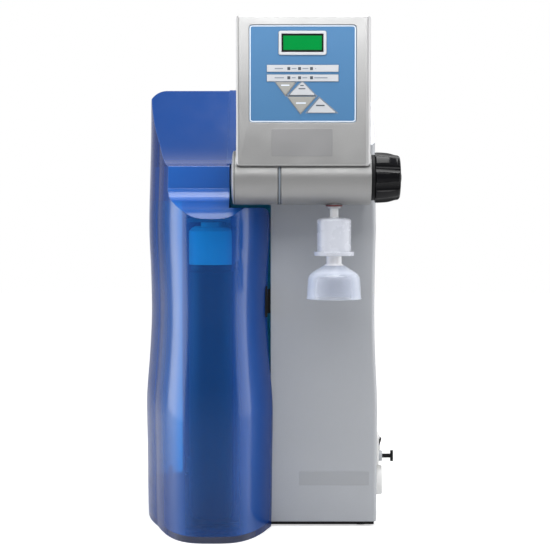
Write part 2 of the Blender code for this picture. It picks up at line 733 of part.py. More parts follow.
def cartridge_cover(pivot, material):
    """The blue cover: lofted plan sections, trimmed to its side and front views, then shelled."""
    far = COLUMN_HALF_WIDTH + COVER_FLARE + OVERRUN
    scoop = scoop_points()
    side = [(-OVERRUN, -OVERRUN), (REAR_Y, -OVERRUN), (REAR_Y, CABINET_HEIGHT)]
    side += list(reversed(ramp_points(RAMP_FRONT))) + list(reversed(scoop)) + [(-OVERRUN, SCOOP_LIP)]
    outer_rings = [(z, 0) for z in waist_levels(COVER_BOTTOM, CABINET_HEIGHT + OVERRUN)]
    cover = cover_loft("cartridge_cover", COVER_REAR, outer_rings, material, pivot)
    trim(cover, prism("cover_side_view", side, "YZ", -far, 2 * far, pivot=pivot))
    trim(cover, prism("cover_front_view", cover_outline(), "XZ", -OVERRUN, REAR_Y + 2 * OVERRUN, pivot=pivot))
    past_rear = REAR_Y + OVERRUN
    behind = PANEL_FRONT - COVER_GAP
    cut(cover, box("cover_beside_cabinet", (COVER_STEP_X, behind, -OVERRUN),
                   (far, past_rear, CABINET_HEIGHT + OVERRUN), pivot=pivot))

    rim_top = COVER_BOTTOM + COVER_RIM_HEIGHT
    chamfer_top = rim_top + COVER_RIM_WALL - COVER_WALL
    inner_rings = [(-OVERRUN, COVER_RIM_WALL), (rim_top, COVER_RIM_WALL)]
    inner_rings += [(z, COVER_WALL) for z in waist_levels(chamfer_top, CABINET_HEIGHT + OVERRUN)]
    hollow = cover_loft("cover_hollow", past_rear, inner_rings, pivot=pivot)
    inner_side = [(-OVERRUN, -OVERRUN), (past_rear, -OVERRUN), (past_rear, CABINET_HEIGHT - COVER_WALL)]
    roofline = inset(side, COVER_WALL)[3:]
    inner_side += roofline[:-1] + [(-OVERRUN, SCOOP_LIP - COVER_WALL)]
    trim(hollow, prism("hollow_side_view", inner_side, "YZ", -far, 2 * far, pivot=pivot))
    inner_depth = past_rear + 2 * OVERRUN
    trim(hollow, prism("hollow_front_view", inner_cover_outline(), "XZ", -OVERRUN, inner_depth, pivot=pivot))
    cut(cover, hollow)

    open_side = [(behind + COVER_WALL, -OVERRUN), (past_rear, -OVERRUN)]
    open_side += [(past_rear, CABINET_HEIGHT - COVER_WALL)]
    open_side += [point for point in roofline if point[0] > behind + COVER_WALL]
    open_side += [(behind + COVER_WALL, ramp_z(behind) - COVER_WALL)]
    cut(cover, prism("cover_open_side", open_side, "YZ", 0, far, pivot=pivot))
    return cover


def hinge_lug(name, low, pivot):
    """A tab from the cover's left wall to the hinge axis, with a rounded end."""
    reach = COVER_LEFT - HINGE_X + COVER_WAIST * waist(low) + COVER_WALL / 2
    outline = [(HINGE_X + reach, HINGE_Y - HINGE_LUG_RADIUS)]
    outline += arc((HINGE_X, HINGE_Y), HINGE_LUG_RADIUS, -90, 90, 2 * CORNER_STEPS)
    outline += [(HINGE_X + reach, HINGE_Y + HINGE_LUG_RADIUS)]
    return prism(name, outline, "XY", low, HINGE_LUG_HEIGHT, pivot=pivot)


def hinge_bracket(name, lug_low, plate_below, material):
    """A plate with an upright pin, and a flange that stands against the rear panel."""
    plate_low = lug_low - HINGE_PLATE - FIT if plate_below else lug_low + HINGE_LUG_HEIGHT + FIT
    half = HINGE_PLATE_HALF_DEPTH
    far = HINGE_X + HINGE_PLATE_WIDTH
    outline = [(far, HINGE_Y - half), (far, REAR_PANEL_Y - FIT), (REAR_PANEL_LEFT, REAR_PANEL_Y - FIT)]
    outline += [(REAR_PANEL_LEFT, HINGE_Y + half)] + arc((HINGE_X, HINGE_Y), half, 90, 270, 2 * CORNER_STEPS)
    bracket = prism(name, outline, "XY", plate_low, HINGE_PLATE, material)
    flange_low = plate_low if plate_below else plate_low + HINGE_PLATE - HINGE_FLANGE_HEIGHT
    flange_front = REAR_PANEL_Y - FIT - HINGE_PLATE
    flange_left = REAR_PANEL_LEFT
    fuse(bracket, box(name + "_flange", (flange_left, flange_front, flange_low),
                      (far, REAR_PANEL_Y - FIT, flange_low + HINGE_FLANGE_HEIGHT)))
    pin_length = HINGE_PLATE + FIT + 2 * HINGE_LUG_HEIGHT
    pin_low = plate_low if plate_below else plate_low + HINGE_PLATE - pin_length
    return fuse(bracket, rod(name + "_pin", (HINGE_X, HINGE_Y, pin_low), "Z", pin_length, HINGE_PIN_RADIUS,
                             steps=SMALL_STEPS))


def cover_and_hinges(blue, black, steel):
    pivot = Pivot("cover_hinge_axis", (HINGE_X, HINGE_Y, COVER_BOTTOM))
    cover = cartridge_cover(pivot, blue)
    for name, low in (("lower", HINGE_LOWER_Z), ("upper", HINGE_UPPER_Z)):
        fuse(cover, hinge_lug("lug_" + name, low, pivot))
        start = (HINGE_X, HINGE_Y, low - OVERRUN / 4)
        hole = rod("lug_hole_" + name, start, "Z", HINGE_LUG_HEIGHT + OVERRUN / 2,
                   HINGE_PIN_RADIUS + FIT, pivot=pivot, steps=SMALL_STEPS)
        cut(cover, hole)
        hinge_bracket("cover_hinge_" + name, low, name == "lower", steel)

    wall = COLUMN_HALF_WIDTH - COVER_WAIST * waist(LATCH_CENTRE_Z)
    latch_axis = Pivot("latch_axis", (wall, LATCH_CENTRE_Y, LATCH_CENTRE_Z))
    latch_axis.empty.parent = pivot.empty
    latch_axis.empty.location = latch_axis.at - pivot.at
    half_width, half_length = LATCH_WIDTH / 2, LATCH_LENGTH / 2
    corners = [(-half_width, -half_length), (half_width, -half_length)]
    corners += [(half_width, half_length), (-half_width, half_length)]
    button = rounded([(LATCH_CENTRE_Y + y, LATCH_CENTRE_Z + z) for y, z in corners], half_width - FIT)
    inner = wall - LATCH_SET_IN - LATCH_THICKNESS
    latch = prism("cover_latch", button, "YZ", inner, LATCH_THICKNESS, black, latch_axis)
    slot = inset(button, -FIT)
    cut(cover, prism("latch_slot", slot, "YZ", inner - OVERRUN, 2 * OVERRUN, pivot=pivot))
    return cover, latch


def latch_keeper(steel):
    """The plate on the partition's front edge that the latch's magnet meets."""
    rear = PANEL_FRONT - FIT
    low = (PANEL_LEFT - KEEPER_WIDTH, PANEL_FRONT + PANEL_WALL, LATCH_CENTRE_Z - KEEPER_LENGTH / 2)
    high = (PANEL_LEFT - FIT, rear + PANEL_WALL + FIT + KEEPER_THICKNESS, LATCH_CENTRE_Z + KEEPER_LENGTH / 2)
    keeper = box("latch_keeper", low, high, steel)
    flange_low = (high[0] - KEEPER_THICKNESS, low[1], low[2])
    flange_high = (high[0], low[1] + KEEPER_FLANGE, high[2])
    return fuse(keeper, box("keeper_flange", flange_low, flange_high))


def housing_section(z, depth, left, rear):
    """Plan outline of the grey housing at a height, counter-clockwise."""
    right = right_wall(z) - depth
    front = PANEL_FRONT + depth
    radius = PANEL_CORNER_RADIUS - depth
    corner = arc((right - radius, front + radius), radius, -90, 0, CORNER_STEPS)
    return [(left, front)] + corner + [(right, rear), (left, rear)]


def roof_outline(depth, left, low):
    """Front view over the housing's roof with its rounded right corner, counter-clockwise."""
    right = right_wall(CABINET_HEIGHT)
    far = PANEL_RIGHT + OVERRUN
    centre = (right - ROOF_CORNER_RADIUS, CABINET_HEIGHT - ROOF_CORNER_RADIUS)
    outline = [(left, low), (far, low), (far, centre[1])]
    outline += arc(centre, ROOF_CORNER_RADIUS - depth, 0, 90, 2 * CORNER_STEPS)
    return outline + [(left, CABINET_HEIGHT - depth)]


def cabinet_profile(front, rear, bottom, depth):
    """Side view of the cabinet under its ramp, drawn in by a wall."""
    outline = side_outline(front, bottom, rear, ramp_points(front))
    if not depth:
        return outline
    roofline = inset([(front - OVERRUN, bottom), (rear, bottom), (rear, CABINET_HEIGHT)]
                     + list(reversed(ramp_points(RAMP_FRONT))) + [(front - OVERRUN, RAMP_LOW)], depth)[3:-1]
    kept = [point for point in roofline if point[0] > front]
    behind, ahead = kept[-1], roofline[len(kept)]
    share = (front - ahead[0]) / (behind[0] - ahead[0])
    edge_z = ahead[1] + (behind[1] - ahead[1]) * share
    return [(front, bottom), (rear, bottom), (rear, CABINET_HEIGHT - depth)] + kept + [(front, edge_z)]


def main_housing(material):
    """The grey shell: front panel, right wall, ramp and roof, open to the left, rear and bottom."""
    top = CABINET_HEIGHT + OVERRUN
    past_rear = REAR_Y + OVERRUN
    width = PANEL_RIGHT - UPPER_LEFT + 2 * OVERRUN
    levels = waist_levels(HOUSING_BOTTOM, top)
    outer = [[(x, y, z) for x, y in housing_section(z, 0, UPPER_LEFT, REAR_Y)] for z in levels]
    shell = loft("main_housing", outer, material)
    side = cabinet_profile(PANEL_FRONT - OVERRUN, past_rear, -OVERRUN, 0)
    trim(shell, prism("housing_side_view", side, "YZ", UPPER_LEFT - OVERRUN, width))
    front_view = [(PANEL_LEFT, -OVERRUN)] + roof_outline(0, UPPER_LEFT - OVERRUN, -OVERRUN)[1:]
    front_view += [(UPPER_LEFT - OVERRUN, SHELF_Z), (PANEL_LEFT, SHELF_Z)]
    trim(shell, prism("housing_front_view", front_view, "XZ", -OVERRUN, past_rear + 2 * OVERRUN))

    open_left = UPPER_LEFT - OVERRUN
    levels = waist_levels(-OVERRUN, top)
    inner = [[(x, y, z) for x, y in housing_section(z, PANEL_WALL, open_left, past_rear)] for z in levels]
    hollow = loft("housing_hollow", inner)
    side = cabinet_profile(PANEL_FRONT, past_rear + OVERRUN, -2 * OVERRUN, PANEL_WALL)
    trim(hollow, prism("housing_hollow_side", side, "YZ", open_left - OVERRUN, width + OVERRUN))
    inner_roof = roof_outline(PANEL_WALL, open_left - OVERRUN, -2 * OVERRUN)
    trim(hollow, prism("housing_hollow_front", inner_roof, "XZ", 0, past_rear + 2 * OVERRUN))
    cut(shell, hollow)
    pipe_way = ((BARREL_LEFT, PANEL_FRONT - OVERRUN, BARREL_UNDERSIDE + ARM_CAVITY_WALL),
                (BARREL_RIGHT - ARM_CAVITY_WALL, PANEL_FRONT + OVERRUN, RAMP_LOW - ARM_CAVITY_WALL))
    cut(shell, box("housing_pipe_way", *pipe_way))
    return shell


def partition_wall(material):
    """The sheet between the cartridge bay and the grey compartment, joggled under the arm."""
    thick = PARTITION_THICKNESS
    bottom = HOUSING_BOTTOM
    lower_left, upper_left = PANEL_LEFT, UPPER_LEFT
    outline = [(lower_left, bottom), (lower_left + thick, bottom), (lower_left + thick, SHELF_Z + thick)]
    outline += [(upper_left + thick, SHELF_Z + thick), (upper_left + thick, CABINET_HEIGHT + OVERRUN)]
    outline += [(upper_left, CABINET_HEIGHT + OVERRUN), (upper_left, SHELF_Z), (lower_left, SHELF_Z)]
    front = PANEL_FRONT + PANEL_WALL + FIT
    sheet = prism("partition_wall", outline, "XZ", front, REAR_PANEL_Y - FIT - front, material)
    depth = PANEL_WALL + FIT
    side = cabinet_profile(PANEL_FRONT, REAR_Y, -OVERRUN, depth)
    return trim(sheet, prism("partition_side_view", side, "YZ", UPPER_LEFT - OVERRUN, PANEL_WIDTH))


def rear_panel(material):
    """The back sheet inside the housing's edge, with vents and three fitting holes."""
    gap = PANEL_WALL + FIT
    low, top = HOUSING_BOTTOM, CABINET_HEIGHT - gap
    levels = [z for z in waist_levels(low, top) if z <= CABINET_HEIGHT - ROOF_CORNER_RADIUS]
    centre = (right_wall(CABINET_HEIGHT) - ROOF_CORNER_RADIUS, CABINET_HEIGHT - ROOF_CORNER_RADIUS)
    outline = [(REAR_PANEL_LEFT, low)] + [(right_wall(z) - gap, z) for z in levels]
    outline += arc(centre, ROOF_CORNER_RADIUS - gap, 0, 90, 2 * CORNER_STEPS)
    outline += [(REAR_PANEL_LEFT, top)]
    panel = prism("rear_panel", outline, "XZ", REAR_PANEL_Y, REAR_PANEL_THICKNESS, material)
    right = PANEL_RIGHT - VENT_FROM_RIGHT + VENT_LENGTH / 2
    for i in range(VENT_COUNT):
        low_z = VENT_CENTRE_Z + VENT_PITCH * (i - (VENT_COUNT - 1) / 2) - VENT_HEIGHT / 2
        cut(panel, box(f"vent_{i + 1}", (right - VENT_LENGTH, REAR_PANEL_Y - OVERRUN, low_z),
                       (right, REAR_Y + OVERRUN, low_z + VENT_HEIGHT)))
    for i, name in enumerate(FITTING_NAMES):
        start = (FITTING_FIRST_X + FITTING_PITCH * i, REAR_PANEL_Y - OVERRUN, FITTING_Z)
        cut(panel, rod(name + "_hole", start, "Y", REAR_PANEL_THICKNESS + 2 * OVERRUN, FITTING_RADIUS + FIT))
    return panel


def sweep_radius():
    """How near the hinge axis the column's right rear edge passes as the cover swings."""
    inner = COLUMN_HALF_WIDTH - COVER_WAIST - COVER_RIM_WALL
    return math.hypot(inner - HINGE_X, HINGE_Y - (PANEL_FRONT - COVER_GAP)) - COVER_SWEEP_MARGIN


def base_plate(material):
    """The floor tray: square under the housing, and inside the cover's walls and their swing."""
    radius = sweep_radius()
    right = PANEL_RIGHT - PANEL_WAIST
    rear = REAR_Y - BASE_REAR_SET_IN
    guard = HINGE_LUG_RADIUS - FIT
    step_x = REAR_PANEL_LEFT + FIT
    half = COLUMN_HALF_WIDTH - COVER_WAIST * waist(BASE_TOP) - COVER_RIM_WALL - COVER_GAP - FIT
    left_side = []
    for i in range(COVER_FLARE_STEPS + 1):
        share = i / COVER_FLARE_STEPS
        drawn = COVER_FLARE * (1 - (1 - share) ** 2)
        left_side.append((-half - drawn, COLUMN_DEPTH + COVER_FLARE_LENGTH * share))
    first, last = BASE_FRONT_CORNER - half - HINGE_X, PANEL_LEFT - HINGE_X
    start = math.degrees(math.atan2(-math.sqrt(radius ** 2 - first ** 2), first))
    end = math.degrees(math.atan2(-math.sqrt(radius ** 2 - last ** 2), last))
    outline = arc((HINGE_X, HINGE_Y), radius, start, end, 2 * CORNER_STEPS)
    outline += [(PANEL_LEFT, PANEL_FRONT + BASE_SET_BACK), (right, PANEL_FRONT + BASE_SET_BACK)]
    outline += [(right, rear), (step_x, rear), (step_x, HINGE_Y + guard)]
    outline += arc((HINGE_X, HINGE_Y), guard, 90, 180, CORNER_STEPS)
    outline += list(reversed(left_side))
    return prism("base_plate", outline, "XY", BASE_UNDERSIDE, BASE_THICKNESS, material)


def feet(material):
    left = HINGE_X + FOOT_LEFT_INSET
    right = PANEL_RIGHT - FOOT_INSET
    rear = REAR_Y - FOOT_INSET
    left_front = HINGE_Y - sweep_radius() + FOOT_INSET + FOOT_INSET
    places = {
        "foot_front_left": (left, left_front),
        "foot_front_right": (right, PANEL_FRONT + FOOT_INSET),
        "foot_rear_left": (left, HINGE_Y - FOOT_INSET),
        "foot_rear_right": (right, rear),
    }
    height = BASE_UNDERSIDE - FIT
    for name, (x, y) in places.items():
        rod(name, (x, y, 0), "Z", height, FOOT_RADIUS - FOOT_TAPER, material, end_radius=FOOT_RADIUS,
            steps=SMALL_STEPS)


def dispense_arm(material):
    """The arm moulding with the right barrel segment, cleared for the turning left segment."""
    axis_y, axis_z = BARREL_AXIS_Y, BARREL_AXIS_Z
    rear = PANEL_FRONT - ARM_GAP
    side = [(axis_y, BARREL_UNDERSIDE + ARM_GAP), (rear, BARREL_UNDERSIDE), (rear, ramp_z(rear))]
    side += [point for point in reversed(ramp_points(RAMP_FRONT)) if point[0] < rear]
    side += [(ARM_SHOULDER_Y, ARM_SHOULDER_Z), (axis_y, axis_z)]
    arm = prism("dispense_arm", side, "YZ", BARREL_LEFT, BARREL_RIGHT - ARM_GAP - BARREL_LEFT, material)
    barrel_start = (SEAM_RIGHT, axis_y, axis_z)
    fuse(arm, rod("right_barrel", barrel_start, "X", BARREL_RIGHT - SEAM_RIGHT, BARREL_RADIUS))
    clear_length = SEAM_LEFT - BARREL_LEFT + 2 * OVERRUN
    clear_start = (BARREL_LEFT - 2 * OVERRUN, axis_y, axis_z)
    cut(arm, rod("left_barrel_way", clear_start, "X", clear_length + SEAM_WIDTH,
                 BARREL_RADIUS + BARREL_RUNNING))
    collar_start = (SEAM_LEFT + FIT, axis_y, axis_z)
    fuse(arm, rod("seam_collar", collar_start, "X", SEAM_WIDTH + OVERRUN, BARREL_RADIUS - SEAM_DEPTH))

    valve_start = (BARREL_RIGHT - VALVE_LENGTH - FIT, axis_y, axis_z)
    cut(arm, rod("valve_bore", valve_start, "X", VALVE_LENGTH + OVERRUN, VALVE_RADIUS + FIT))
    shaft_start = (SEAM_LEFT - OVERRUN, axis_y, axis_z)
    cut(arm, rod("shaft_bore", shaft_start, "X", OVERRUN + SEAM_WIDTH + HEAD_SHAFT_GRIP + FIT,
                 HEAD_SHAFT_RADIUS + FIT, steps=SMALL_STEPS))
    outlet_start = (OUTLET_X, axis_y, BARREL_UNDERSIDE - OVERRUN)
    cut(arm, rod("outlet_bore", outlet_start, "Z", BARREL_RADIUS + OVERRUN, OUTLET_BOSS_RADIUS + FIT,
                 steps=SMALL_STEPS))
    cavity_low = (BARREL_LEFT + ARM_CAVITY_WALL, ARM_SHOULDER_Y, BARREL_UNDERSIDE + ARM_CAVITY_WALL)
    cavity_high = (BARREL_RIGHT - ARM_CAVITY_WALL, PANEL_FRONT + OVERRUN, RAMP_LOW - ARM_CAVITY_WALL)
    return cut(arm, box("arm_pipe_way", cavity_low, cavity_high))


def dispense_valve(white, black, red):
    """Valve body with its outlet boss, the collar, and the red ring round the outlet."""
    axis_y, axis_z = BARREL_AXIS_Y, BARREL_AXIS_Z
    start = (BARREL_RIGHT - VALVE_LENGTH, axis_y, axis_z)
    body = rod("valve_body", start, "X", VALVE_LENGTH - FIT, VALVE_RADIUS, white)
    ring_top = BARREL_UNDERSIDE - FIT
    boss_low = ring_top - OUTLET_RING_HEIGHT
    fuse(body, rod("outlet_boss", (OUTLET_X, axis_y, boss_low), "Z", axis_z - boss_low, OUTLET_BOSS_RADIUS,
                   steps=SMALL_STEPS))
    bore_low = (OUTLET_X, axis_y, boss_low - OVERRUN)
    cut(body, rod("outlet_passage", bore_low, "Z", OVERRUN + STEM_SPIGOT + 2 * FIT, OUTLET_BORE_RADIUS,
                  steps=SMALL_STEPS))
    spindle_hole = (BARREL_RIGHT - SPINDLE_IN_VALVE - FIT, axis_y, axis_z)
    cut(body, rod("spindle_bore", spindle_hole, "X", SPINDLE_IN_VALVE + OVERRUN, SPINDLE_RADIUS + RUNNING,
                  steps=SMALL_STEPS))
    inner, outer = SPINDLE_RADIUS + FIT, COLLAR_RADIUS
    collar = [(outer, COLLAR_THICKNESS), (outer, 0), (inner, 0), (inner, COLLAR_THICKNESS)]
    turned("knob_collar", collar, (BARREL_RIGHT + FIT, axis_y, axis_z), "X", black, ring=True)
    inner, outer = OUTLET_BOSS_RADIUS + FIT, OUTLET_RING_RADIUS
    ring = [(outer, OUTLET_RING_HEIGHT), (outer, 0), (inner, 0), (inner, OUTLET_RING_HEIGHT)]
    turned("outlet_collar", ring, (OUTLET_X, axis_y, boss_low), "Z", red, ring=True, steps=SMALL_STEPS)
    return body


def scallops(pivot):
    """One tool of eight long grooves that lean in towards the knob's small end."""
    shape = bmesh.new()
    lean = math.atan2(KNOB_RADIUS - KNOB_END_RADIUS, KNOB_LENGTH)
    middle = (KNOB_RADIUS + KNOB_END_RADIUS) / 2
    distance = middle + KNOB_SCALLOP_RADIUS - KNOB_SCALLOP_DEPTH
    for i in range(KNOB_LOBES):
        made = bmesh.ops.create_cone(shape, cap_ends=True, segments=SMALL_STEPS, radius1=KNOB_SCALLOP_RADIUS,
                                     radius2=KNOB_SCALLOP_RADIUS, depth=KNOB_LENGTH + 2 * OVERRUN)["verts"]
        bmesh.ops.rotate(shape, matrix=Matrix.Rotation(-lean, 3, "Y"), verts=made)
        bmesh.ops.translate(shape, vec=(distance, 0, 0), verts=made)
        turn = Matrix.Rotation(math.tau * (i + 0.5) / KNOB_LOBES, 3, "Z")
        bmesh.ops.rotate(shape, matrix=turn, verts=made)
    bmesh.ops.rotate(shape, matrix=TURN_TO["X"], verts=shape.verts)
    centre = ((KNOB_INNER + KNOB_OUTER) / 2, BARREL_AXIS_Y, BARREL_AXIS_Z)
    return place("knob_scallops", mesh_from("knob_scallops", shape), centre, pivot=pivot)


def knob(gloss_black, steel):
    """The scalloped knob, its domed cap and the spindle that it turns."""
    pivot = Pivot("knob_axis", (BARREL_RIGHT, BARREL_AXIS_Y, BARREL_AXIS_Z))
    start = (KNOB_INNER, BARREL_AXIS_Y, BARREL_AXIS_Z)
    bore = SPINDLE_RADIUS + FIT
    seat = KNOB_CAP_RADIUS + FIT
    end = KNOB_LENGTH
    profile = [(seat, end), (KNOB_END_RADIUS - KNOB_EDGE, end)]
    corner = arc((KNOB_END_RADIUS - KNOB_EDGE, end - KNOB_EDGE), KNOB_EDGE, 90, 0, CORNER_STEPS)
    profile += corner[1:] + [(KNOB_WAIST_RADIUS, (end + KNOB_FOOT_EDGE) / 2)]
    profile += [(KNOB_RADIUS, KNOB_FOOT_EDGE), (KNOB_RADIUS - KNOB_FOOT_CHAMFER, 0)]
    profile += [(bore, 0), (bore, end - KNOB_CAP_SEAT), (seat, end - KNOB_CAP_SEAT)]
    handle = turned("dispense_knob", profile, start, "X", gloss_black, pivot, ring=True, steps=WIDE_STEPS)
    cut(handle, scallops(pivot))

    spindle_start = (BARREL_RIGHT - SPINDLE_IN_VALVE, BARREL_AXIS_Y, BARREL_AXIS_Z)
    spindle_end = KNOB_OUTER - KNOB_CAP_SEAT - FIT
    rod("valve_spindle", spindle_start, "X", spindle_end - spindle_start[0], SPINDLE_RADIUS, steel, pivot,
        steps=SMALL_STEPS)
    cap_low = end - KNOB_CAP_SEAT + FIT
    crown = end + KNOB_CAP_PROUD
    cap = [(0, crown), (KNOB_CAP_RADIUS / 2, crown - KNOB_CAP_CROWN)]
    cap += [(KNOB_CAP_RADIUS, end + KNOB_CAP_EDGE), (KNOB_CAP_RADIUS, cap_low), (0, cap_low)]
    turned("knob_cap", cap, start, "X", gloss_black, pivot)


def point_of_use_filter(white, clear):
    """Stem, capsule, bell and nozzle, which pull down off the outlet together."""
    stem_top = BARREL_UNDERSIDE - FIT - OUTLET_RING_HEIGHT - FIT
    pivot = Pivot("filter_axis", (OUTLET_X, BARREL_AXIS_Y, stem_top))
    stem = [(0, STEM_SPIGOT), (STEM_SPIGOT_RADIUS, STEM_SPIGOT), (STEM_SPIGOT_RADIUS, 0), (STEM_RADIUS, 0)]
    stem += [(STEM_RADIUS, -STEM_LENGTH + STEM_RADIUS / 2), (STEM_FLARE_RADIUS, -STEM_LENGTH)]
    stem += [(0, -STEM_LENGTH)]
    turned("filter_stem", stem, pivot.at, "Z", clear, pivot, steps=SMALL_STEPS)

    capsule_top = stem_top - STEM_LENGTH - FIT
    shoulder = CAPSULE_SHOULDER
    body = [(0, 0), (CAPSULE_RADIUS - shoulder, 0)]
    body += arc((CAPSULE_RADIUS - shoulder, -shoulder), shoulder, 90, 0, CORNER_STEPS)[1:]
    body += [(CAPSULE_RADIUS, -CAPSULE_LENGTH), (FLANGE_RADIUS, -CAPSULE_LENGTH)]
    flange_low = -CAPSULE_LENGTH - FLANGE_HEIGHT
    body += [(FLANGE_RADIUS, flange_low), (0, flange_low)]
    turned("filter_capsule", body, (OUTLET_X, BARREL_AXIS_Y, capsule_top), "Z", white, pivot)

    bell_top = capsule_top + flange_low - FIT
    wall = BELL_WALL
    shoulder_z = -NECK_LENGTH - BELL_SHOULDER_DROP
    mouth = -NECK_LENGTH - BELL_HEIGHT
    cone_z = -NECK_LENGTH - BELL_CONE_DROP
    outer = [(NECK_RADIUS, 0), (NECK_RADIUS, -NECK_LENGTH), (BELL_CONE_RADIUS, cone_z)]
    outer += [(BELL_SHOULDER_RADIUS - wall, (cone_z + shoulder_z) / 2), (BELL_SHOULDER_RADIUS, shoulder_z)]
    outer += [(BELL_MOUTH_RADIUS, mouth + BELL_RIM_HEIGHT), (BELL_RIM_RADIUS, mouth + BELL_RIM_HEIGHT / 2)]
    outer += [(BELL_RIM_RADIUS, mouth)]
    inner = [(BELL_MOUTH_RADIUS - wall, mouth), (BELL_SHOULDER_RADIUS - wall, shoulder_z - wall / 2)]
    inner += [(BELL_CONE_RADIUS - wall / 2, cone_z - wall), (NECK_RADIUS - wall, -NECK_LENGTH - wall)]
    inner += [(NECK_RADIUS - wall, 0)]
    turned("filter_bell", outer + inner, (OUTLET_X, BARREL_AXIS_Y, bell_top), "Z", clear, pivot, ring=True,
           steps=BELL_STEPS)

    lip_z = -NECK_LENGTH - NOZZLE_LENGTH
    nozzle = [(NOZZLE_BORE_RADIUS, 0), (NOZZLE_RADIUS + wall, 0), (NOZZLE_RADIUS + wall, -wall)]
    nozzle += [(NOZZLE_RADIUS, -wall), (NOZZLE_RADIUS, lip_z + NOZZLE_LIP)]
    nozzle += [(NOZZLE_LIP_RADIUS, lip_z), (NOZZLE_LIP_RADIUS - wall, lip_z)]
    nozzle += [(NOZZLE_BORE_RADIUS, lip_z + NOZZLE_LIP_CUP)]
    turned("filter_nozzle", nozzle, (OUTLET_X, BARREL_AXIS_Y, bell_top), "Z", white, pivot, ring=True,
           steps=SMALL_STEPS)


def head_barrel(silver, steel, pivot):
    """Left barrel segment with its domed end, which turns on the hinge shaft with the head."""
    start = (BARREL_LEFT, BARREL_AXIS_Y, BARREL_AXIS_Z)
    segment = rod("hinge_barrel", start, "X", LEFT_BARREL_LENGTH, BARREL_RADIUS, silver, pivot)
    saddle_left = HEAD_LEFT + HEAD_WALL + 2 * FIT
    saddle_low = (saddle_left, BARREL_AXIS_Y - HEAD_SADDLE_DEPTH / 2, BARREL_AXIS_Z)
    saddle_top = BARREL_AXIS_Z + BARREL_RADIUS + HEAD_SADDLE_RISE
    saddle_high = (saddle_left + HEAD_SADDLE_WIDTH, BARREL_AXIS_Y + HEAD_SADDLE_DEPTH / 2, saddle_top)
    fuse(segment, box("hinge_saddle", saddle_low, saddle_high, pivot=pivot))
    bore_start = (BARREL_LEFT - OVERRUN, BARREL_AXIS_Y, BARREL_AXIS_Z)
    cut(segment, rod("barrel_bore", bore_start, "X", LEFT_BARREL_LENGTH + 2 * OVERRUN,
                     HEAD_SHAFT_RADIUS + RUNNING, pivot=pivot, steps=SMALL_STEPS))
    dome = [(0, 0), (BARREL_RADIUS - FIT, 0)]
    rise = BARREL_DOME - FIT
    for i in range(1, CORNER_STEPS + 1):
        angle = math.radians(90 * i / CORNER_STEPS)
        dome.append((BARREL_RADIUS * math.cos(angle) if i < CORNER_STEPS else 0, -rise * math.sin(angle)))
    turned("barrel_end_cap", dome, (BARREL_LEFT - FIT, BARREL_AXIS_Y, BARREL_AXIS_Z), "X", silver, pivot)
    shaft_length = LEFT_BARREL_LENGTH + SEAM_WIDTH + HEAD_SHAFT_GRIP - FIT
    shaft_start = (BARREL_LEFT + FIT, BARREL_AXIS_Y, BARREL_AXIS_Z)
    rod("hinge_shaft", shaft_start, "X", shaft_length, HEAD_SHAFT_RADIUS, steel, steps=SMALL_STEPS)
    return saddle_low, saddle_high


def head_outline(depth):
    """Front view of the head, drawn in by a wall."""
    low_x, high_x = HEAD_LEFT + depth, HEAD_RIGHT - depth
    low_z, high_z = HEAD_BOTTOM + depth, HEAD_TOP - depth
    corners = [(low_x, low_z), (high_x, low_z), (high_x, high_z), (low_x, high_z)]
    return rounded(corners, HEAD_CORNER_RADIUS - min(depth, HEAD_CORNER_RADIUS / 2))


def key_outline(shares):
    corners = [(KEYPAD_X + u * KEYPAD_WIDTH, KEYPAD_Z + v * KEYPAD_HEIGHT) for u, v in shares]
    return rounded(corners, KEY_CORNER, 2)


def rectangle(left, low, width, height, radius):
    corners = [(left, low), (left + width, low), (left + width, low + height), (left, low + height)]
    return rounded(corners, radius)


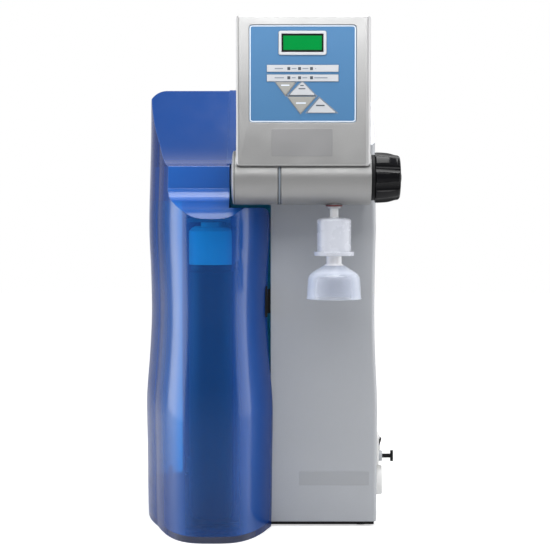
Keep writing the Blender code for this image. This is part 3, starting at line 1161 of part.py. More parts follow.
def display_head(silver, grey, blue, white, green, key_grey, board, steel):
    """Front shell and rear cover over the barrel, with the keypad panel and electronics."""
    pivot = Pivot("head_axis", HEAD_AXIS)
    saddle_low, saddle_high = head_barrel(silver, steel, pivot)
    past = HEAD_WIDTH + 2 * OVERRUN
    barrel_way = (HEAD_LEFT - OVERRUN, BARREL_AXIS_Y, BARREL_AXIS_Z)
    shell_rear = HEAD_REAR - HEAD_COVER_THICKNESS - FIT

    depth = shell_rear - HEAD_FRONT
    shell = prism("head_front_shell", head_outline(0), "XZ", HEAD_FRONT, depth, silver, pivot)
    bevel(shell, HEAD_EDGE, 3)
    shell.modifiers["edges"].limit_method = "WEIGHT"
    mark_front_edges(shell.data)
    clearance = BARREL_RADIUS + HEAD_BARREL_GAP
    cut(shell, rod("head_barrel_way", barrel_way, "X", past, clearance, pivot=pivot, steps=WIDE_STEPS))
    inner_front = HEAD_FRONT + HEAD_FRONT_WALL
    hollow = prism("head_hollow", head_outline(HEAD_WALL), "XZ", inner_front, HEAD_THICKNESS, pivot=pivot)
    cut(hollow, rod("head_floor", barrel_way, "X", past, clearance + HEAD_WALL, pivot=pivot,
                    steps=WIDE_STEPS))
    cut(shell, hollow)
    gap = Vector((FIT, FIT, FIT))
    slot_low, slot_high = Vector(saddle_low) - gap, Vector(saddle_high) + gap
    cut(shell, box("saddle_slot", slot_low, slot_high, pivot=pivot))
    recess = rectangle(KEYPAD_X, KEYPAD_Z, KEYPAD_WIDTH, KEYPAD_HEIGHT, KEYPAD_RADIUS)
    recess_depth = OVERRUN + KEYPAD_RECESS
    cut(shell, prism("keypad_recess", recess, "XZ", HEAD_FRONT - OVERRUN, recess_depth, pivot=pivot))

    bezel_x = KEYPAD_X + BEZEL_LEFT
    bezel_z = KEYPAD_TOP - BEZEL_DROP - BEZEL_HEIGHT
    window_x, window_z = bezel_x + BEZEL_FRAME, bezel_z + BEZEL_FRAME
    window_width, window_height = BEZEL_WIDTH - 2 * BEZEL_FRAME, BEZEL_HEIGHT - 2 * BEZEL_FRAME
    cut(shell, box("display_hole", (window_x - FIT, HEAD_FRONT, window_z - FIT),
                   (window_x + window_width + FIT, inner_front + OVERRUN / 2, window_z + window_height + FIT),
                   pivot=pivot))

    panel_rear = RECESS_FLOOR - FIT
    inset_recess = inset(recess, FIT)
    panel = prism("keypad_panel", inset_recess, "XZ", KEYPAD_FRONT, panel_rear - KEYPAD_FRONT, blue, pivot)
    bezel_outline = rectangle(bezel_x, bezel_z, BEZEL_WIDTH, BEZEL_HEIGHT, BEZEL_RADIUS)
    window_hole = box("bezel_window_hole", (window_x, HEAD_FRONT - OVERRUN, window_z),
                      (window_x + window_width, HEAD_REAR, window_z + window_height), pivot=pivot)
    cut(panel, prism("bezel_hole", inset(bezel_outline, -FIT), "XZ", HEAD_FRONT - OVERRUN, HEAD_THICKNESS,
                     pivot=pivot))
    bezel_front = KEYPAD_FRONT - BEZEL_PROUD
    depth = panel_rear - bezel_front
    cut(prism("display_bezel", bezel_outline, "XZ", bezel_front, depth, white, pivot), window_hole)
    window_front = bezel_front + WINDOW_SUNK
    window_rear = window_front + WINDOW_THICKNESS
    left, right = window_x + FIT, window_x + window_width - FIT
    low, high = window_z + FIT, window_z + window_height - FIT
    box("display_window", (left, window_front, low), (right, window_rear, high), green, pivot)

    board_front = RECESS_FLOOR + BOARD_BEHIND_PANEL
    box("display_module", (left, window_rear + FIT, low), (right, board_front - FIT, high), grey, pivot)
    board_low = (HEAD_LEFT + HEAD_WALL + FIT, board_front, KEYPAD_Z)
    board_high = (HEAD_RIGHT - HEAD_WALL - FIT, board_front + BOARD_THICKNESS, HEAD_TOP - 3 * HEAD_WALL)
    box("control_board", board_low, board_high, board, pivot)

    strip_x = KEYPAD_X + STRIP_LEFT
    for i, name in enumerate(("indicator_strip_upper", "indicator_strip_lower")):
        low = KEYPAD_TOP - STRIP_DROP - STRIP_HEIGHT - STRIP_PITCH * i
        front = KEYPAD_FRONT + STRIP_POCKET - FIT - STRIP_THICKNESS
        box(name, (strip_x, front, low), (strip_x + STRIP_WIDTH, front + STRIP_THICKNESS, low + STRIP_HEIGHT),
            white, pivot)
        pocket_low = (strip_x - FIT, KEYPAD_FRONT - OVERRUN, low - FIT)
        pocket_high = (strip_x + STRIP_WIDTH + FIT, KEYPAD_FRONT + STRIP_POCKET, low + STRIP_HEIGHT + FIT)
        cut(panel, box(name + "_pocket", pocket_low, pocket_high, pivot=pivot))

    for name, shares in KEY_SHARES.items():
        outline = key_outline(shares)
        centre = sum((Vector(point) for point in outline), Vector((0, 0))) / len(outline)
        key_axis = Pivot(name + "_axis", (centre.x, KEYPAD_FRONT, centre.y))
        key_axis.empty.parent = pivot.empty
        key_axis.empty.location = key_axis.at - pivot.at
        front = KEYPAD_FRONT - KEY_PROUD
        material = white if "_up_" in name else key_grey
        prism(name, outline, "XZ", front, KEY_PROUD + KEY_SUNK, material, key_axis)
        cut(panel, prism(name + "_hole", inset(outline, -KEY_WALL_GAP), "XZ", HEAD_FRONT - OVERRUN,
                         HEAD_THICKNESS, pivot=pivot))

    cover = prism("head_rear_cover", head_outline(0), "XZ", HEAD_REAR - HEAD_COVER_THICKNESS,
                  HEAD_COVER_THICKNESS, grey, pivot)
    cut(cover, rod("cover_barrel_way", barrel_way, "X", past, clearance, pivot=pivot, steps=WIDE_STEPS))


def mark_front_edges(mesh):
    """Weight the edges of a prism's front face, so that only they are rounded."""
    weights = mesh.attributes.new("bevel_weight_edge", "FLOAT", "EDGE")
    front = min(vertex.co.y for vertex in mesh.vertices)
    for edge in mesh.edges:
        ends = [mesh.vertices[index].co.y for index in edge.vertices]
        weights.data[edge.index].value = 1.0 if max(ends) - front < FIT / 3 else 0.0


def cartridge(name, centre_y, radius, shell, cap):
    """A cartridge with a banded body, under a head that hangs from the bracket."""
    x = CARTRIDGE_X
    top, bottom = CARTRIDGE_TOP, CARTRIDGE_BOTTOM
    groove = CARTRIDGE_GROOVE
    length = top - bottom
    body = [(0, length), (radius - groove, length), (radius - groove, length - CARTRIDGE_TOE)]
    body += [(radius, length - CARTRIDGE_TOE - groove), (radius, CARTRIDGE_TOE), (radius - groove, 0), (0, 0)]
    turned(name, body, (x, centre_y, bottom), "Z", shell, steps=INSIDE_STEPS)
    head = [(0, HEAD_CAP_HEIGHT + HEAD_CAP_NECK), (HEAD_CAP_NECK_RADIUS, HEAD_CAP_HEIGHT + HEAD_CAP_NECK)]
    head += [(HEAD_CAP_NECK_RADIUS, HEAD_CAP_HEIGHT), (radius - CARTRIDGE_CAP_CHAMFER, HEAD_CAP_HEIGHT)]
    head += [(radius, HEAD_CAP_HEIGHT - CARTRIDGE_CAP_CHAMFER), (radius, 0), (0, 0)]
    turned(name + "_head", head, (x, centre_y, top + FIT), "Z", cap, steps=INSIDE_STEPS)


def cartridges(shell, cap, grey):
    first = FRONT_CARTRIDGE_Y
    cartridge("front_cartridge", first, FRONT_CARTRIDGE_RADIUS, shell, cap)
    cartridge("rear_cartridge", first + CARTRIDGE_PITCH, REAR_CARTRIDGE_RADIUS, shell, cap)
    low = CARTRIDGE_TOP + FIT + HEAD_CAP_HEIGHT + HEAD_CAP_NECK + FIT
    right = PANEL_LEFT - FIT
    front, rear = first - BRACKET_FRONT, first + CARTRIDGE_PITCH + BRACKET_BEHIND
    panel = PANEL_FRONT + PANEL_WALL + FIT
    outline = [(-BRACKET_LEFT, front), (BRACKET_LEFT - BRACKET_FLANGE, front), (right, panel), (right, rear)]
    outline += [(-BRACKET_LEFT, rear)]
    bracket = prism("cartridge_bracket", outline, "XY", low, BRACKET_THICKNESS, grey)
    flange_low = (right - BRACKET_THICKNESS, panel, low - BRACKET_FLANGE)
    fuse(bracket, box("bracket_flange", flange_low, (right, rear, low + BRACKET_THICKNESS)))


def compartment(steel, aluminium, grey, white, black):
    """What stands on the base plate behind the grey panel."""
    floor = BASE_TOP + FIT
    pump_x, pump_y = PANEL_LEFT + PUMP_FROM_LEFT, REAR_Y - PUMP_FROM_REAR
    motor = [(0, MOTOR_HEIGHT), (MOTOR_RADIUS, MOTOR_HEIGHT), (MOTOR_RADIUS, MOTOR_HEIGHT - MOTOR_RIB)]
    for i in range(MOTOR_RIBS):
        groove_z = MOTOR_HEIGHT - 2 * MOTOR_RIB * (i + 1)
        motor += [(MOTOR_RADIUS - MOTOR_RIB_DEPTH, groove_z), (MOTOR_RADIUS, groove_z - MOTOR_RIB)]
    motor += [(MOTOR_RADIUS, MOTOR_FOOT), (MOTOR_RADIUS, 0), (0, 0)]
    turned("pump_motor", motor, (pump_x, pump_y, floor), "Z", black, steps=INSIDE_STEPS)
    pump_low = floor + MOTOR_HEIGHT + FIT
    pump = rod("circulation_pump", (pump_x, pump_y, pump_low), "Z", PUMP_HEIGHT, PUMP_RADIUS, grey)
    for side, name in ((-1, "pump_inlet"), (1, "pump_outlet")):
        port_y = pump_y + side * PUMP_RADIUS / 2
        start = (pump_x, port_y, pump_low + PUMP_HEIGHT / 2)
        fuse(pump, rod(name, start, "Z", PUMP_HEIGHT / 2 + PUMP_PORT_LENGTH, PUMP_PORT_RADIUS,
                       steps=SMALL_STEPS))

    reactor_x, reactor_y = PANEL_LEFT + REACTOR_FROM_LEFT, PANEL_FRONT + REACTOR_FROM_FRONT
    wide, cap = REACTOR_RADIUS + REACTOR_CAP_PROUD, REACTOR_CAP
    length = REACTOR_LENGTH
    reactor = [(0, length), (wide, length), (wide, length - cap), (REACTOR_RADIUS, length - cap)]
    reactor += [(REACTOR_RADIUS, cap), (wide, cap), (wide, 0), (0, 0)]
    turned("ultraviolet_reactor", reactor, (reactor_x, reactor_y, floor), "Z", steel, steps=INSIDE_STEPS)

    fine_x, fine_y = PANEL_LEFT + ULTRAFILTER_FROM_LEFT, PANEL_FRONT + ULTRAFILTER_FROM_FRONT
    length, radius = ULTRAFILTER_LENGTH, ULTRAFILTER_RADIUS
    fine = [(0, length), (radius, length), (radius, length - cap), (radius - REACTOR_CAP_PROUD, length - cap)]
    fine += [(radius - REACTOR_CAP_PROUD, cap), (radius, cap), (radius, 0), (0, 0)]
    turned("ultrafilter", fine, (fine_x, fine_y, floor), "Z", white, steps=INSIDE_STEPS)

    left = PANEL_LEFT + SUPPLY_FROM_LEFT
    rear = REAR_PANEL_Y - SUPPLY_FROM_REAR
    low = (left, rear - SUPPLY_DEPTH, floor)
    high = (left + SUPPLY_WIDTH, rear, floor + SUPPLY_HEIGHT)
    bevel(box("power_supply", low, high, aluminium), SUPPLY_EDGE, 1)


def side_fittings(housing, white, pale, black, dark):
    """Service plate with its switch and inlet, the drain valve, and the capped port."""
    plate_outline = rectangle(PLATE_Y, PLATE_Z, PLATE_LENGTH, PLATE_HEIGHT, PLATE_CORNER)
    plate = prism("service_plate", plate_outline, "YZ", PLATE_INNER, PLATE_THICKNESS, pale)
    wall_in = PLATE_INNER - OVERRUN
    through = PLATE_THICKNESS + 2 * OVERRUN

    body_start = (DRAIN_BOSS_END - DRAIN_BODY_LENGTH - PLATE_THICKNESS, HANDLE_Y, HANDLE_Z)
    body = rod("drain_valve_body", body_start, "X", DRAIN_BOSS_END - body_start[0], DRAIN_BOSS_RADIUS, white,
               steps=SMALL_STEPS)
    hole = rod("drain_hole", (wall_in, HANDLE_Y, HANDLE_Z), "X", through, DRAIN_BOSS_RADIUS + FIT,
               steps=SMALL_STEPS)
    cut(plate, hole)
    cut(housing, hole)
    pivot = Pivot("drain_handle_axis", (DRAIN_BOSS_END, HANDLE_Y, HANDLE_Z))
    shaft_start = (DRAIN_BOSS_END - DRAIN_SHAFT_IN, HANDLE_Y, HANDLE_Z)
    shaft_length = DRAIN_SHAFT_IN + DRAIN_SHAFT_LENGTH + DRAIN_BAR_THICKNESS / 2
    handle = rod("drain_valve_handle", shaft_start, "X", shaft_length, DRAIN_SHAFT_RADIUS, dark, pivot,
                 steps=SMALL_STEPS)
    half_width, half_length = DRAIN_BAR_WIDTH / 2, DRAIN_BAR_LENGTH / 2
    bar = [(-half_width, -half_length), (half_width, -half_length), (half_width, half_length)]
    bar += [(-half_width, half_length)]
    bar = rounded([(HANDLE_Y + y, HANDLE_Z + z) for y, z in bar], DRAIN_BAR_CORNER)
    bar_start = DRAIN_TIP - DRAIN_BAR_THICKNESS
    fuse(handle, prism("handle_bar", bar, "YZ", bar_start, DRAIN_BAR_THICKNESS, pivot=pivot))
    cut(body, rod("drain_bore", (shaft_start[0] - FIT, HANDLE_Y, HANDLE_Z), "X", DRAIN_SHAFT_IN + OVERRUN,
                  DRAIN_SHAFT_RADIUS + RUNNING, steps=SMALL_STEPS))

    power_entry(plate, housing, black)
    port(housing, white, pale)


def power_entry(plate, housing, black):
    """One module with the recessed mains inlet and, beside it, the pocket of the rocker switch."""
    middle_z = PLATE_Z + PLATE_HEIGHT / 2 + ENTRY_RISE
    face = PLATE_OUTER + ENTRY_PROUD
    switch_y, inlet_y = PLATE_Y + SWITCH_FROM_PLATE_FRONT, PLATE_Y + INLET_FROM_PLATE_FRONT
    half_height = INLET_HEIGHT / 2
    low = (PLATE_OUTER - INLET_DEPTH, switch_y - SWITCH_WIDTH / 2 - ENTRY_WALL, middle_z - half_height)
    high = (face, inlet_y + INLET_SOCKET_WIDTH / 2 + ENTRY_WALL, middle_z + half_height)
    module = box("power_inlet", low, high, black)
    half_width, half_height = INLET_SOCKET_WIDTH / 2, INLET_SOCKET_HEIGHT / 2
    past = PLATE_OUTER + OVERRUN
    socket_low = (face - INLET_SOCKET_DEPTH, inlet_y - half_width, middle_z - half_height)
    cut(module, box("inlet_socket", socket_low, (past, inlet_y + half_width, middle_z + half_height)))
    half_width, half_height = SWITCH_WIDTH / 2 + FIT, SWITCH_HEIGHT / 2 + SWITCH_PROUD
    pocket_low = (face - SWITCH_POCKET, switch_y - half_width, middle_z - half_height)
    cut(module, box("switch_pocket", pocket_low, (past, switch_y + half_width, middle_z + half_height)))

    axle_x = face - SWITCH_AXLE_DEPTH
    axle_length = SWITCH_WIDTH + 2 * FIT + ENTRY_WALL
    axle_start = (axle_x, switch_y - axle_length / 2, middle_z)
    bore_start = (axle_x, axle_start[1] - FIT, middle_z)
    cut(module, rod("axle_bore", bore_start, "Y", axle_length + 2 * FIT, SWITCH_AXLE_RADIUS + RUNNING,
                    steps=SMALL_STEPS))
    gap = Vector((OVERRUN, FIT, FIT))
    hole = box("entry_way", Vector(low) - gap, Vector(high) + gap)
    cut(plate, hole)
    cut(housing, hole)

    pivot = Pivot("switch_axis", (axle_x, switch_y, middle_z))
    half = SWITCH_HEIGHT / 2
    front = SWITCH_AXLE_DEPTH + SWITCH_PROUD
    back = SWITCH_AXLE_DEPTH - SWITCH_DEPTH
    profile = [(back, -half / 2), (0, -half), (front, -half), (front - SWITCH_PROUD, 0), (front, half)]
    profile += [(0, half), (back, half / 2)]
    tilt = Matrix.Rotation(-SWITCH_TILT, 2)
    tilted = [tilt @ Vector(point) + Vector((axle_x, middle_z)) for point in profile]
    key = prism("power_switch", tilted, "XZ", switch_y - SWITCH_WIDTH / 2, SWITCH_WIDTH, black, pivot)
    return fuse(key, rod("switch_axle", axle_start, "Y", axle_length, SWITCH_AXLE_RADIUS, pivot=pivot,
                         steps=SMALL_STEPS))


def port(housing, white, pale):
    """A short threaded port through the wall, under a round screw cap."""
    centre = (PANEL_FRONT + PORT_FROM_PANEL, PORT_Z)
    wall = PANEL_RIGHT
    tip = wall + PORT_PROUD
    inner, outer = PORT_BORE_RADIUS, PORT_RADIUS
    ring = [(outer, PORT_LENGTH), (outer, 0), (inner, 0), (inner, PORT_LENGTH)]
    turned("sanitising_port", ring, (tip - PORT_LENGTH, *centre), "X", white, ring=True)
    cut(housing, rod("port_hole", (wall - 2 * OVERRUN, *centre), "X", 4 * OVERRUN, PORT_RADIUS + FIT))
    pivot = Pivot("port_cap_axis", (wall, *centre))
    depth = CAP_PROUD - PLATE_STANDOFF
    edge = CAP_WALL / 2
    bore = PORT_RADIUS + CAP_GAP
    cap = [(0, depth), (CAP_RADIUS - edge, depth), (CAP_RADIUS, depth - edge), (CAP_RADIUS, 0), (bore, 0)]
    cap += [(bore, depth - CAP_WALL), (0, depth - CAP_WALL)]
    turned("sanitising_port_cap", cap, (wall + PLATE_STANDOFF, *centre), "X", pale, pivot)


def rear_fittings(white):
    """Push-in water fittings through the rear panel, each with a hexagon nut behind it."""
    for i, name in enumerate(FITTING_NAMES):
        centre = (FITTING_FIRST_X + FITTING_PITCH * i, FITTING_Z)
        start = (centre[0], REAR_PANEL_Y - FITTING_INSIDE, centre[1])
        length = FITTING_INSIDE + REAR_PANEL_THICKNESS + FITTING_PROUD
        fitting = rod(name, start, "Y", length, FITTING_RADIUS, white, steps=SMALL_STEPS)
        nut_start = (centre[0], REAR_PANEL_Y + REAR_PANEL_THICKNESS + FIT, centre[1])
        fuse(fitting, rod(name + "_nut", nut_start, "Y", FITTING_NUT, FITTING_NUT_RADIUS,
                          steps=FITTING_NUT_SIDES))
        bore_start = (centre[0], FITTING_TIP - FITTING_PROUD, centre[1])
        cut(fitting, rod(name + "_bore", bore_start, "Y", FITTING_PROUD + OVERRUN, FITTING_BORE_RADIUS,
                         steps=SMALL_STEPS))


def build():
    blue = finish("cover_blue", (0.020, 0.085, 0.42), 0.22, alpha=0.85)
    silver = finish("silver_grey", (0.36, 0.36, 0.36), 0.35)
    grey = finish("cabinet_grey", (0.33, 0.335, 0.345), 0.45)
    sheet = finish("sheet_grey", (0.30, 0.305, 0.315), 0.5)
    black = finish("matt_black", (0.012, 0.012, 0.013), 0.5)
    gloss_black = finish("gloss_black", (0.008, 0.008, 0.009), 0.15)
    white = finish("white_plastic", (0.80, 0.81, 0.83), 0.3)
    pale = finish("pale_plastic", (0.62, 0.62, 0.60), 0.4)
    clear = finish("clear_plastic", (0.75, 0.79, 0.85), 0.08, alpha=0.45)
    red = finish("outlet_red", (0.22, 0.010, 0.012), 0.35)
    panel_blue = finish("keypad_blue", (0.10, 0.26, 0.50), 0.4)
    green = finish("display_green", (0.004, 0.30, 0.07), 0.2)
    key_grey = finish("key_grey", (0.25, 0.25, 0.24), 0.45)
    board = finish("board_green", (0.01, 0.09, 0.03), 0.5)
    graphite = finish("cartridge_graphite", (0.035, 0.040, 0.055), 0.35)
    aluminium = finish("aluminium", (0.60, 0.60, 0.61), 0.4, 1.0)
    steel = finish("steel", (0.55, 0.55, 0.56), 0.3, 1.0)
    dark = finish("dark_steel", (0.10, 0.10, 0.11), 0.35, 1.0)
    rubber = finish("foot_rubber", (0.015, 0.015, 0.015), 0.8)

    base_plate(black)
    feet(rubber)
    housing = main_housing(grey)
    partition_wall(sheet)
    rear_panel(sheet)
    cover_and_hinges(blue, black, steel)
    latch_keeper(steel)
    dispense_arm(silver)
    dispense_valve(white, black, red)
    knob(gloss_black, steel)
    point_of_use_filter(white, clear)
    display_head(silver, grey, panel_blue, white, green, key_grey, board, steel)
    cartridges(graphite, white, sheet)
    compartment(steel, aluminium, grey, white, black)
    side_fittings(housing, white, pale, black, dark)
    rear_fittings(white)


for old in list(bpy.data.objects):
    bpy.data.objects.remove(old, do_unlink=True)
PARTS = collection("ultrapure_water_system")
CUTTERS = collection("cutters")
build()
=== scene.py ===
"""Looks of the bench ultrapure water system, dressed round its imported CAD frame."""

import json
import math

import bmesh
import bpy
from mathutils import Matrix, Vector
from mathutils.bvhtree import BVHTree

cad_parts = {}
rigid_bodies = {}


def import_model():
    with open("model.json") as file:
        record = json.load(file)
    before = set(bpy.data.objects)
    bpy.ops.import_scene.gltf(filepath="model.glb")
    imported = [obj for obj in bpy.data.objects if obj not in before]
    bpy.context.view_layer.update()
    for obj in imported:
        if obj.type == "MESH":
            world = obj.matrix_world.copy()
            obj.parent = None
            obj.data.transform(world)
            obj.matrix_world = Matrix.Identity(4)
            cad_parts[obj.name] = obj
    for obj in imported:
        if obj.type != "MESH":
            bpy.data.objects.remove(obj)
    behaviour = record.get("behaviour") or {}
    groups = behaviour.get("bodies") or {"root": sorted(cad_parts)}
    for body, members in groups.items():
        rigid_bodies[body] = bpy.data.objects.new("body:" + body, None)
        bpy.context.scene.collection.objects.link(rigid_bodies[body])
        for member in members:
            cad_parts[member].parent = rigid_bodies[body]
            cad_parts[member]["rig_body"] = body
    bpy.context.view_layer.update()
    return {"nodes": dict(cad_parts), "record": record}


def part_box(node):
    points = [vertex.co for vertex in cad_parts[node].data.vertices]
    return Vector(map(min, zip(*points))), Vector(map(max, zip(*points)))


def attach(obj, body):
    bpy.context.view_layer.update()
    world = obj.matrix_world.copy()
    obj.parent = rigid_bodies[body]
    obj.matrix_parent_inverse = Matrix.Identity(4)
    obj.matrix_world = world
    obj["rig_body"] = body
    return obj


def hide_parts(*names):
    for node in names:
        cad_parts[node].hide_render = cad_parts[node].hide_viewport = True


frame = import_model()
SLOT_OF = {part["node"]: part["material_slot"] for part in frame["record"]["subparts"]}

# Working axes, as in the part's source: X = 0 on the column's centre line, Y = 0 at its front.
ARM_LOW, ARM_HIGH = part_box("dispense_arm")
ORIGIN = Vector((ARM_LOW.x - 0.0245, ARM_HIGH.y - 0.0857, 0))

SMOOTH = math.radians(32)
WELD, ON_AXIS = 0.000002, 0.00001
FLAT = 0.3


# ---- meshes

def clean_mesh(name, shape, angle=SMOOTH):
    """A mesh from a bmesh, smooth between the edges sharper than the angle."""
    bmesh.ops.recalc_face_normals(shape, faces=shape.faces)
    mesh = bpy.data.meshes.new(name)
    shape.to_mesh(mesh)
    shape.free()
    mesh.shade_smooth()
    mesh.set_sharp_from_angle(angle=angle)
    return mesh


def loose(name, data, at=ORIGIN):
    """An object that rides on nothing yet, by default in working coordinates."""
    obj = bpy.data.objects.new(name, data)
    bpy.context.scene.collection.objects.link(obj)
    obj.location = at
    return obj


def settle(obj):
    """Turn an object's modifiers into its mesh."""
    bpy.context.view_layer.update()
    graph = bpy.context.evaluated_depsgraph_get()
    mesh = bpy.data.meshes.new_from_object(obj.evaluated_get(graph))
    old = obj.data
    obj.modifiers.clear()
    obj.data = mesh
    bpy.data.meshes.remove(old)
    return obj


def combine(target, tool, operation):
    """Boolean with a tool object, which then goes."""
    step = target.modifiers.new("with", "BOOLEAN")
    step.operation = operation
    step.solver = "EXACT"
    step.object = tool
    settle(target)
    mesh = tool.data
    bpy.data.objects.remove(tool)
    bpy.data.meshes.remove(mesh)
    return target


def cut(target, tool):
    return combine(target, tool, "DIFFERENCE")


def trim(target, tool):
    return combine(target, tool, "INTERSECT")


def fuse(target, tool):
    return combine(target, tool, "UNION")


def weld(shape, flat):
    """Merge double points and drop needless edges on flats."""
    bmesh.ops.remove_doubles(shape, verts=shape.verts, dist=WELD)
    bmesh.ops.dissolve_limit(shape, angle_limit=math.radians(flat), verts=shape.verts,
                             edges=shape.edges)


def tidy_edges(obj, angle=SMOOTH, flat=0.2):
    """Weld, drop needless edges on flats, and mark the sharp edges."""
    shape = bmesh.new()
    shape.from_mesh(obj.data)
    weld(shape, flat)
    mesh = clean_mesh(obj.name, shape, angle)
    old = obj.data
    obj.data = mesh
    bpy.data.meshes.remove(old)
    return obj


def soften(obj, width, segments=2, angle=SMOOTH):
    """A real small radius on the sharp edges."""
    step = obj.modifiers.new("edges", "BEVEL")
    step.width = width
    step.segments = segments
    step.limit_method = "ANGLE"
    step.angle_limit = angle
    step.harden_normals = True
    return obj


def wear(obj, body, material, slot, *nodes):
    """Give a piece its material, the body it rides on and the nodes it stands for."""
    obj.data.materials.clear()
    obj.data.materials.append(material)
    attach(obj, body)
    if nodes:
        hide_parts(*nodes)
    return obj


def box(name, low, high):
    shape = bmesh.new()
    bmesh.ops.create_cube(shape, size=1.0)
    low, high = Vector(low), Vector(high)
    bmesh.ops.scale(shape, vec=high - low, verts=shape.verts)
    bmesh.ops.translate(shape, vec=(low + high) / 2, verts=shape.verts)
    return loose(name, clean_mesh(name, shape))


PLANES = {
    "XY": lambda a, b, c: (a, b, c),
    "XZ": lambda a, b, c: (a, c, b),
    "YZ": lambda a, b, c: (c, a, b),
}


def join_rings(shape, first, second):
    """Faces between two rings with as many points each."""
    for i in range(len(first)):
        j = (i + 1) % len(first)
        shape.faces.new((first[i], first[j], second[j], second[i]))


def prism(name, outline, plane, start, depth):
    """An outline drawn in a plane and pushed along the third axis."""
    to_space = PLANES[plane]
    shape = bmesh.new()
    near = [shape.verts.new(to_space(a, b, start)) for a, b in outline]
    far = [shape.verts.new(to_space(a, b, start + depth)) for a, b in outline]
    shape.faces.new(near)
    shape.faces.new(list(reversed(far)))
    join_rings(shape, near, far)
    return loose(name, clean_mesh(name, shape))


def band(name, outer, inner, plane, start, depth):
    """A flat closed rim between two outlines with as many points each."""
    to_space = PLANES[plane]
    shape = bmesh.new()
    rows = []
    far = start + depth
    for outline, level in ((outer, start), (outer, far), (inner, far), (inner, start)):
        rows.append([shape.verts.new(to_space(a, b, level)) for a, b in outline])
    for first, second in zip(rows, rows[1:] + rows[:1]):
        join_rings(shape, first, second)
    return loose(name, clean_mesh(name, shape))


def loft(name, rings, angle=SMOOTH):
    """A closed skin over rings with as many points each."""
    shape = bmesh.new()
    levels = [[shape.verts.new(point) for point in ring] for ring in rings]
    for lower, upper in zip(levels, levels[1:]):
        join_rings(shape, lower, upper)
    shape.faces.new(list(reversed(levels[0])))
    shape.faces.new(levels[-1])
    return loose(name, clean_mesh(name, shape, angle))


TURN_TO = {
    "X": Matrix.Rotation(math.radians(90), 3, "Y"),
    "Y": Matrix.Rotation(math.radians(-90), 3, "X"),
    "Z": Matrix.Identity(3),
}


def lathe(name, profile, at, axis="Z", steps=96, ring=False, angle=SMOOTH):
    """Revolve (radius, distance along) pairs about an axis through a point."""
    shape = bmesh.new()
    turn = TURN_TO[axis]
    rows = []
    for radius, along in profile:
        if radius < ON_AXIS:
            rows.append([shape.verts.new(turn @ Vector((0, 0, along)) + Vector(at))])
            continue
        row = []
        for i in range(steps):
            around = math.tau * i / steps
            point = Vector((radius * math.cos(around), radius * math.sin(around), along))
            row.append(shape.verts.new(turn @ point + Vector(at)))
        rows.append(row)
    pairs = list(zip(rows, rows[1:]))
    if ring:
        pairs.append((rows[-1], rows[0]))
    for first, second in pairs:
        for i in range(steps):
            j = (i + 1) % steps
            if len(first) == 1 and len(second) == 1:
                continue
            if len(first) == 1:
                shape.faces.new((first[0], second[j], second[i]))
            elif len(second) == 1:
                shape.faces.new((first[i], first[j], second[0]))
            else:
                shape.faces.new((first[i], first[j], second[j], second[i]))
    return loose(name, clean_mesh(name, shape, angle))


def arc(centre, radius, start, end, steps):
    """Points on a circle between two angles in degrees."""
    points = []
    for i in range(steps + 1):
        angle = math.radians(start + (end - start) * i / steps)
        points.append((centre[0] + radius * math.cos(angle), centre[1] + radius * math.sin(angle)))
    return points


def rectangle(left, low, right, high, radius, steps=6):
    """A rounded rectangle's outline, counter-clockwise."""
    corners = ((right, low, -1, 1, -90), (right, high, -1, -1, 0),
               (left, high, 1, -1, 90), (left, low, 1, 1, 180))
    outline = []
    for a, b, across, up, start in corners:
        outline += arc((a + across * radius, b + up * radius), radius, start, start + 90, steps)
    return outline


def inset(outline, distance):
    """Move a counter-clockwise outline inwards, with mitred corners."""
    points = []
    count = len(outline)
    for i in range(count):
        before, here, after = (Vector(outline[(i + k) % count]) for k in (-1, 0, 1))
        along_in, along_out = (here - before).normalized(), (after - here).normalized()
        normal_in = Vector((-along_in.y, along_in.x))
        normal_out = Vector((-along_out.y, along_out.x))
        mitre = (normal_in + normal_out).normalized()
        points.append(tuple(here + mitre * (distance / mitre.dot(normal_in))))
    return points


def curve_through(points, steps):
    """A smooth line through points, each span cut in steps."""
    line = []
    for i in range(len(points) - 1):
        before = Vector(points[max(i - 1, 0)])
        here, after = Vector(points[i]), Vector(points[i + 1])
        beyond = Vector(points[min(i + 2, len(points) - 1)])
        for k in range(steps):
            t = k / steps
            a = (after - before) / 2
            b = (beyond - here) / 2
            cubic = 2 * (here - after) + a + b
            square = 3 * (after - here) - 2 * a - b
            line.append(tuple(here + a * t + square * t ** 2 + cubic * t ** 3))
    return line + [tuple(points[-1])]


def smooth_copy(node, edge=0.0, angle=SMOOTH, segments=2):
    """A CAD node's shape as a new object, welded, with clean flats and small edge radii."""
    source = frame["nodes"][node].data
    shape = bmesh.new()
    verts = [shape.verts.new(v.co - ORIGIN) for v in source.vertices]
    for polygon in source.polygons:
        shape.faces.new([verts[i] for i in polygon.vertices])
    weld(shape, FLAT)
    obj = loose(node + "_dressed", clean_mesh(node, shape, angle))
    if edge:
        soften(obj, edge, segments, angle)
        settle(obj)
    return obj


def body_of(node):
    return frame["nodes"][node]["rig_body"]


DONE = set()


def stand_for(obj, node, material):
    """A piece takes a CAD node's place and body, with the given material."""
    DONE.add(node)
    return wear(obj, body_of(node), material, SLOT_OF[node], node)


# ---- materials

# Noises: scale, detail and roughness.
TONE, SPECK, MOTTLE = (9, 4, 0.55), (5200, 1, 0.3), (55, 4, 0.6)
# How slanting a view turns a surface to its painted grazing shade, how near an edge shows as wear and
# painted highlight and how strongly, and what stays clear of a see-through surface at a grazing view
# and in a milky box.
GRAZING_SHADE, EDGE_DOT, WEAR_AND_HIGHLIGHT_SHARE, BEVEL_SAMPLES = (0.40, 0.85), 0.75, 0.5, 6
SLANT_CLEAR, MILKY_CLEAR = 0.1, 0.15
PATCH_EDGE = 0.0004
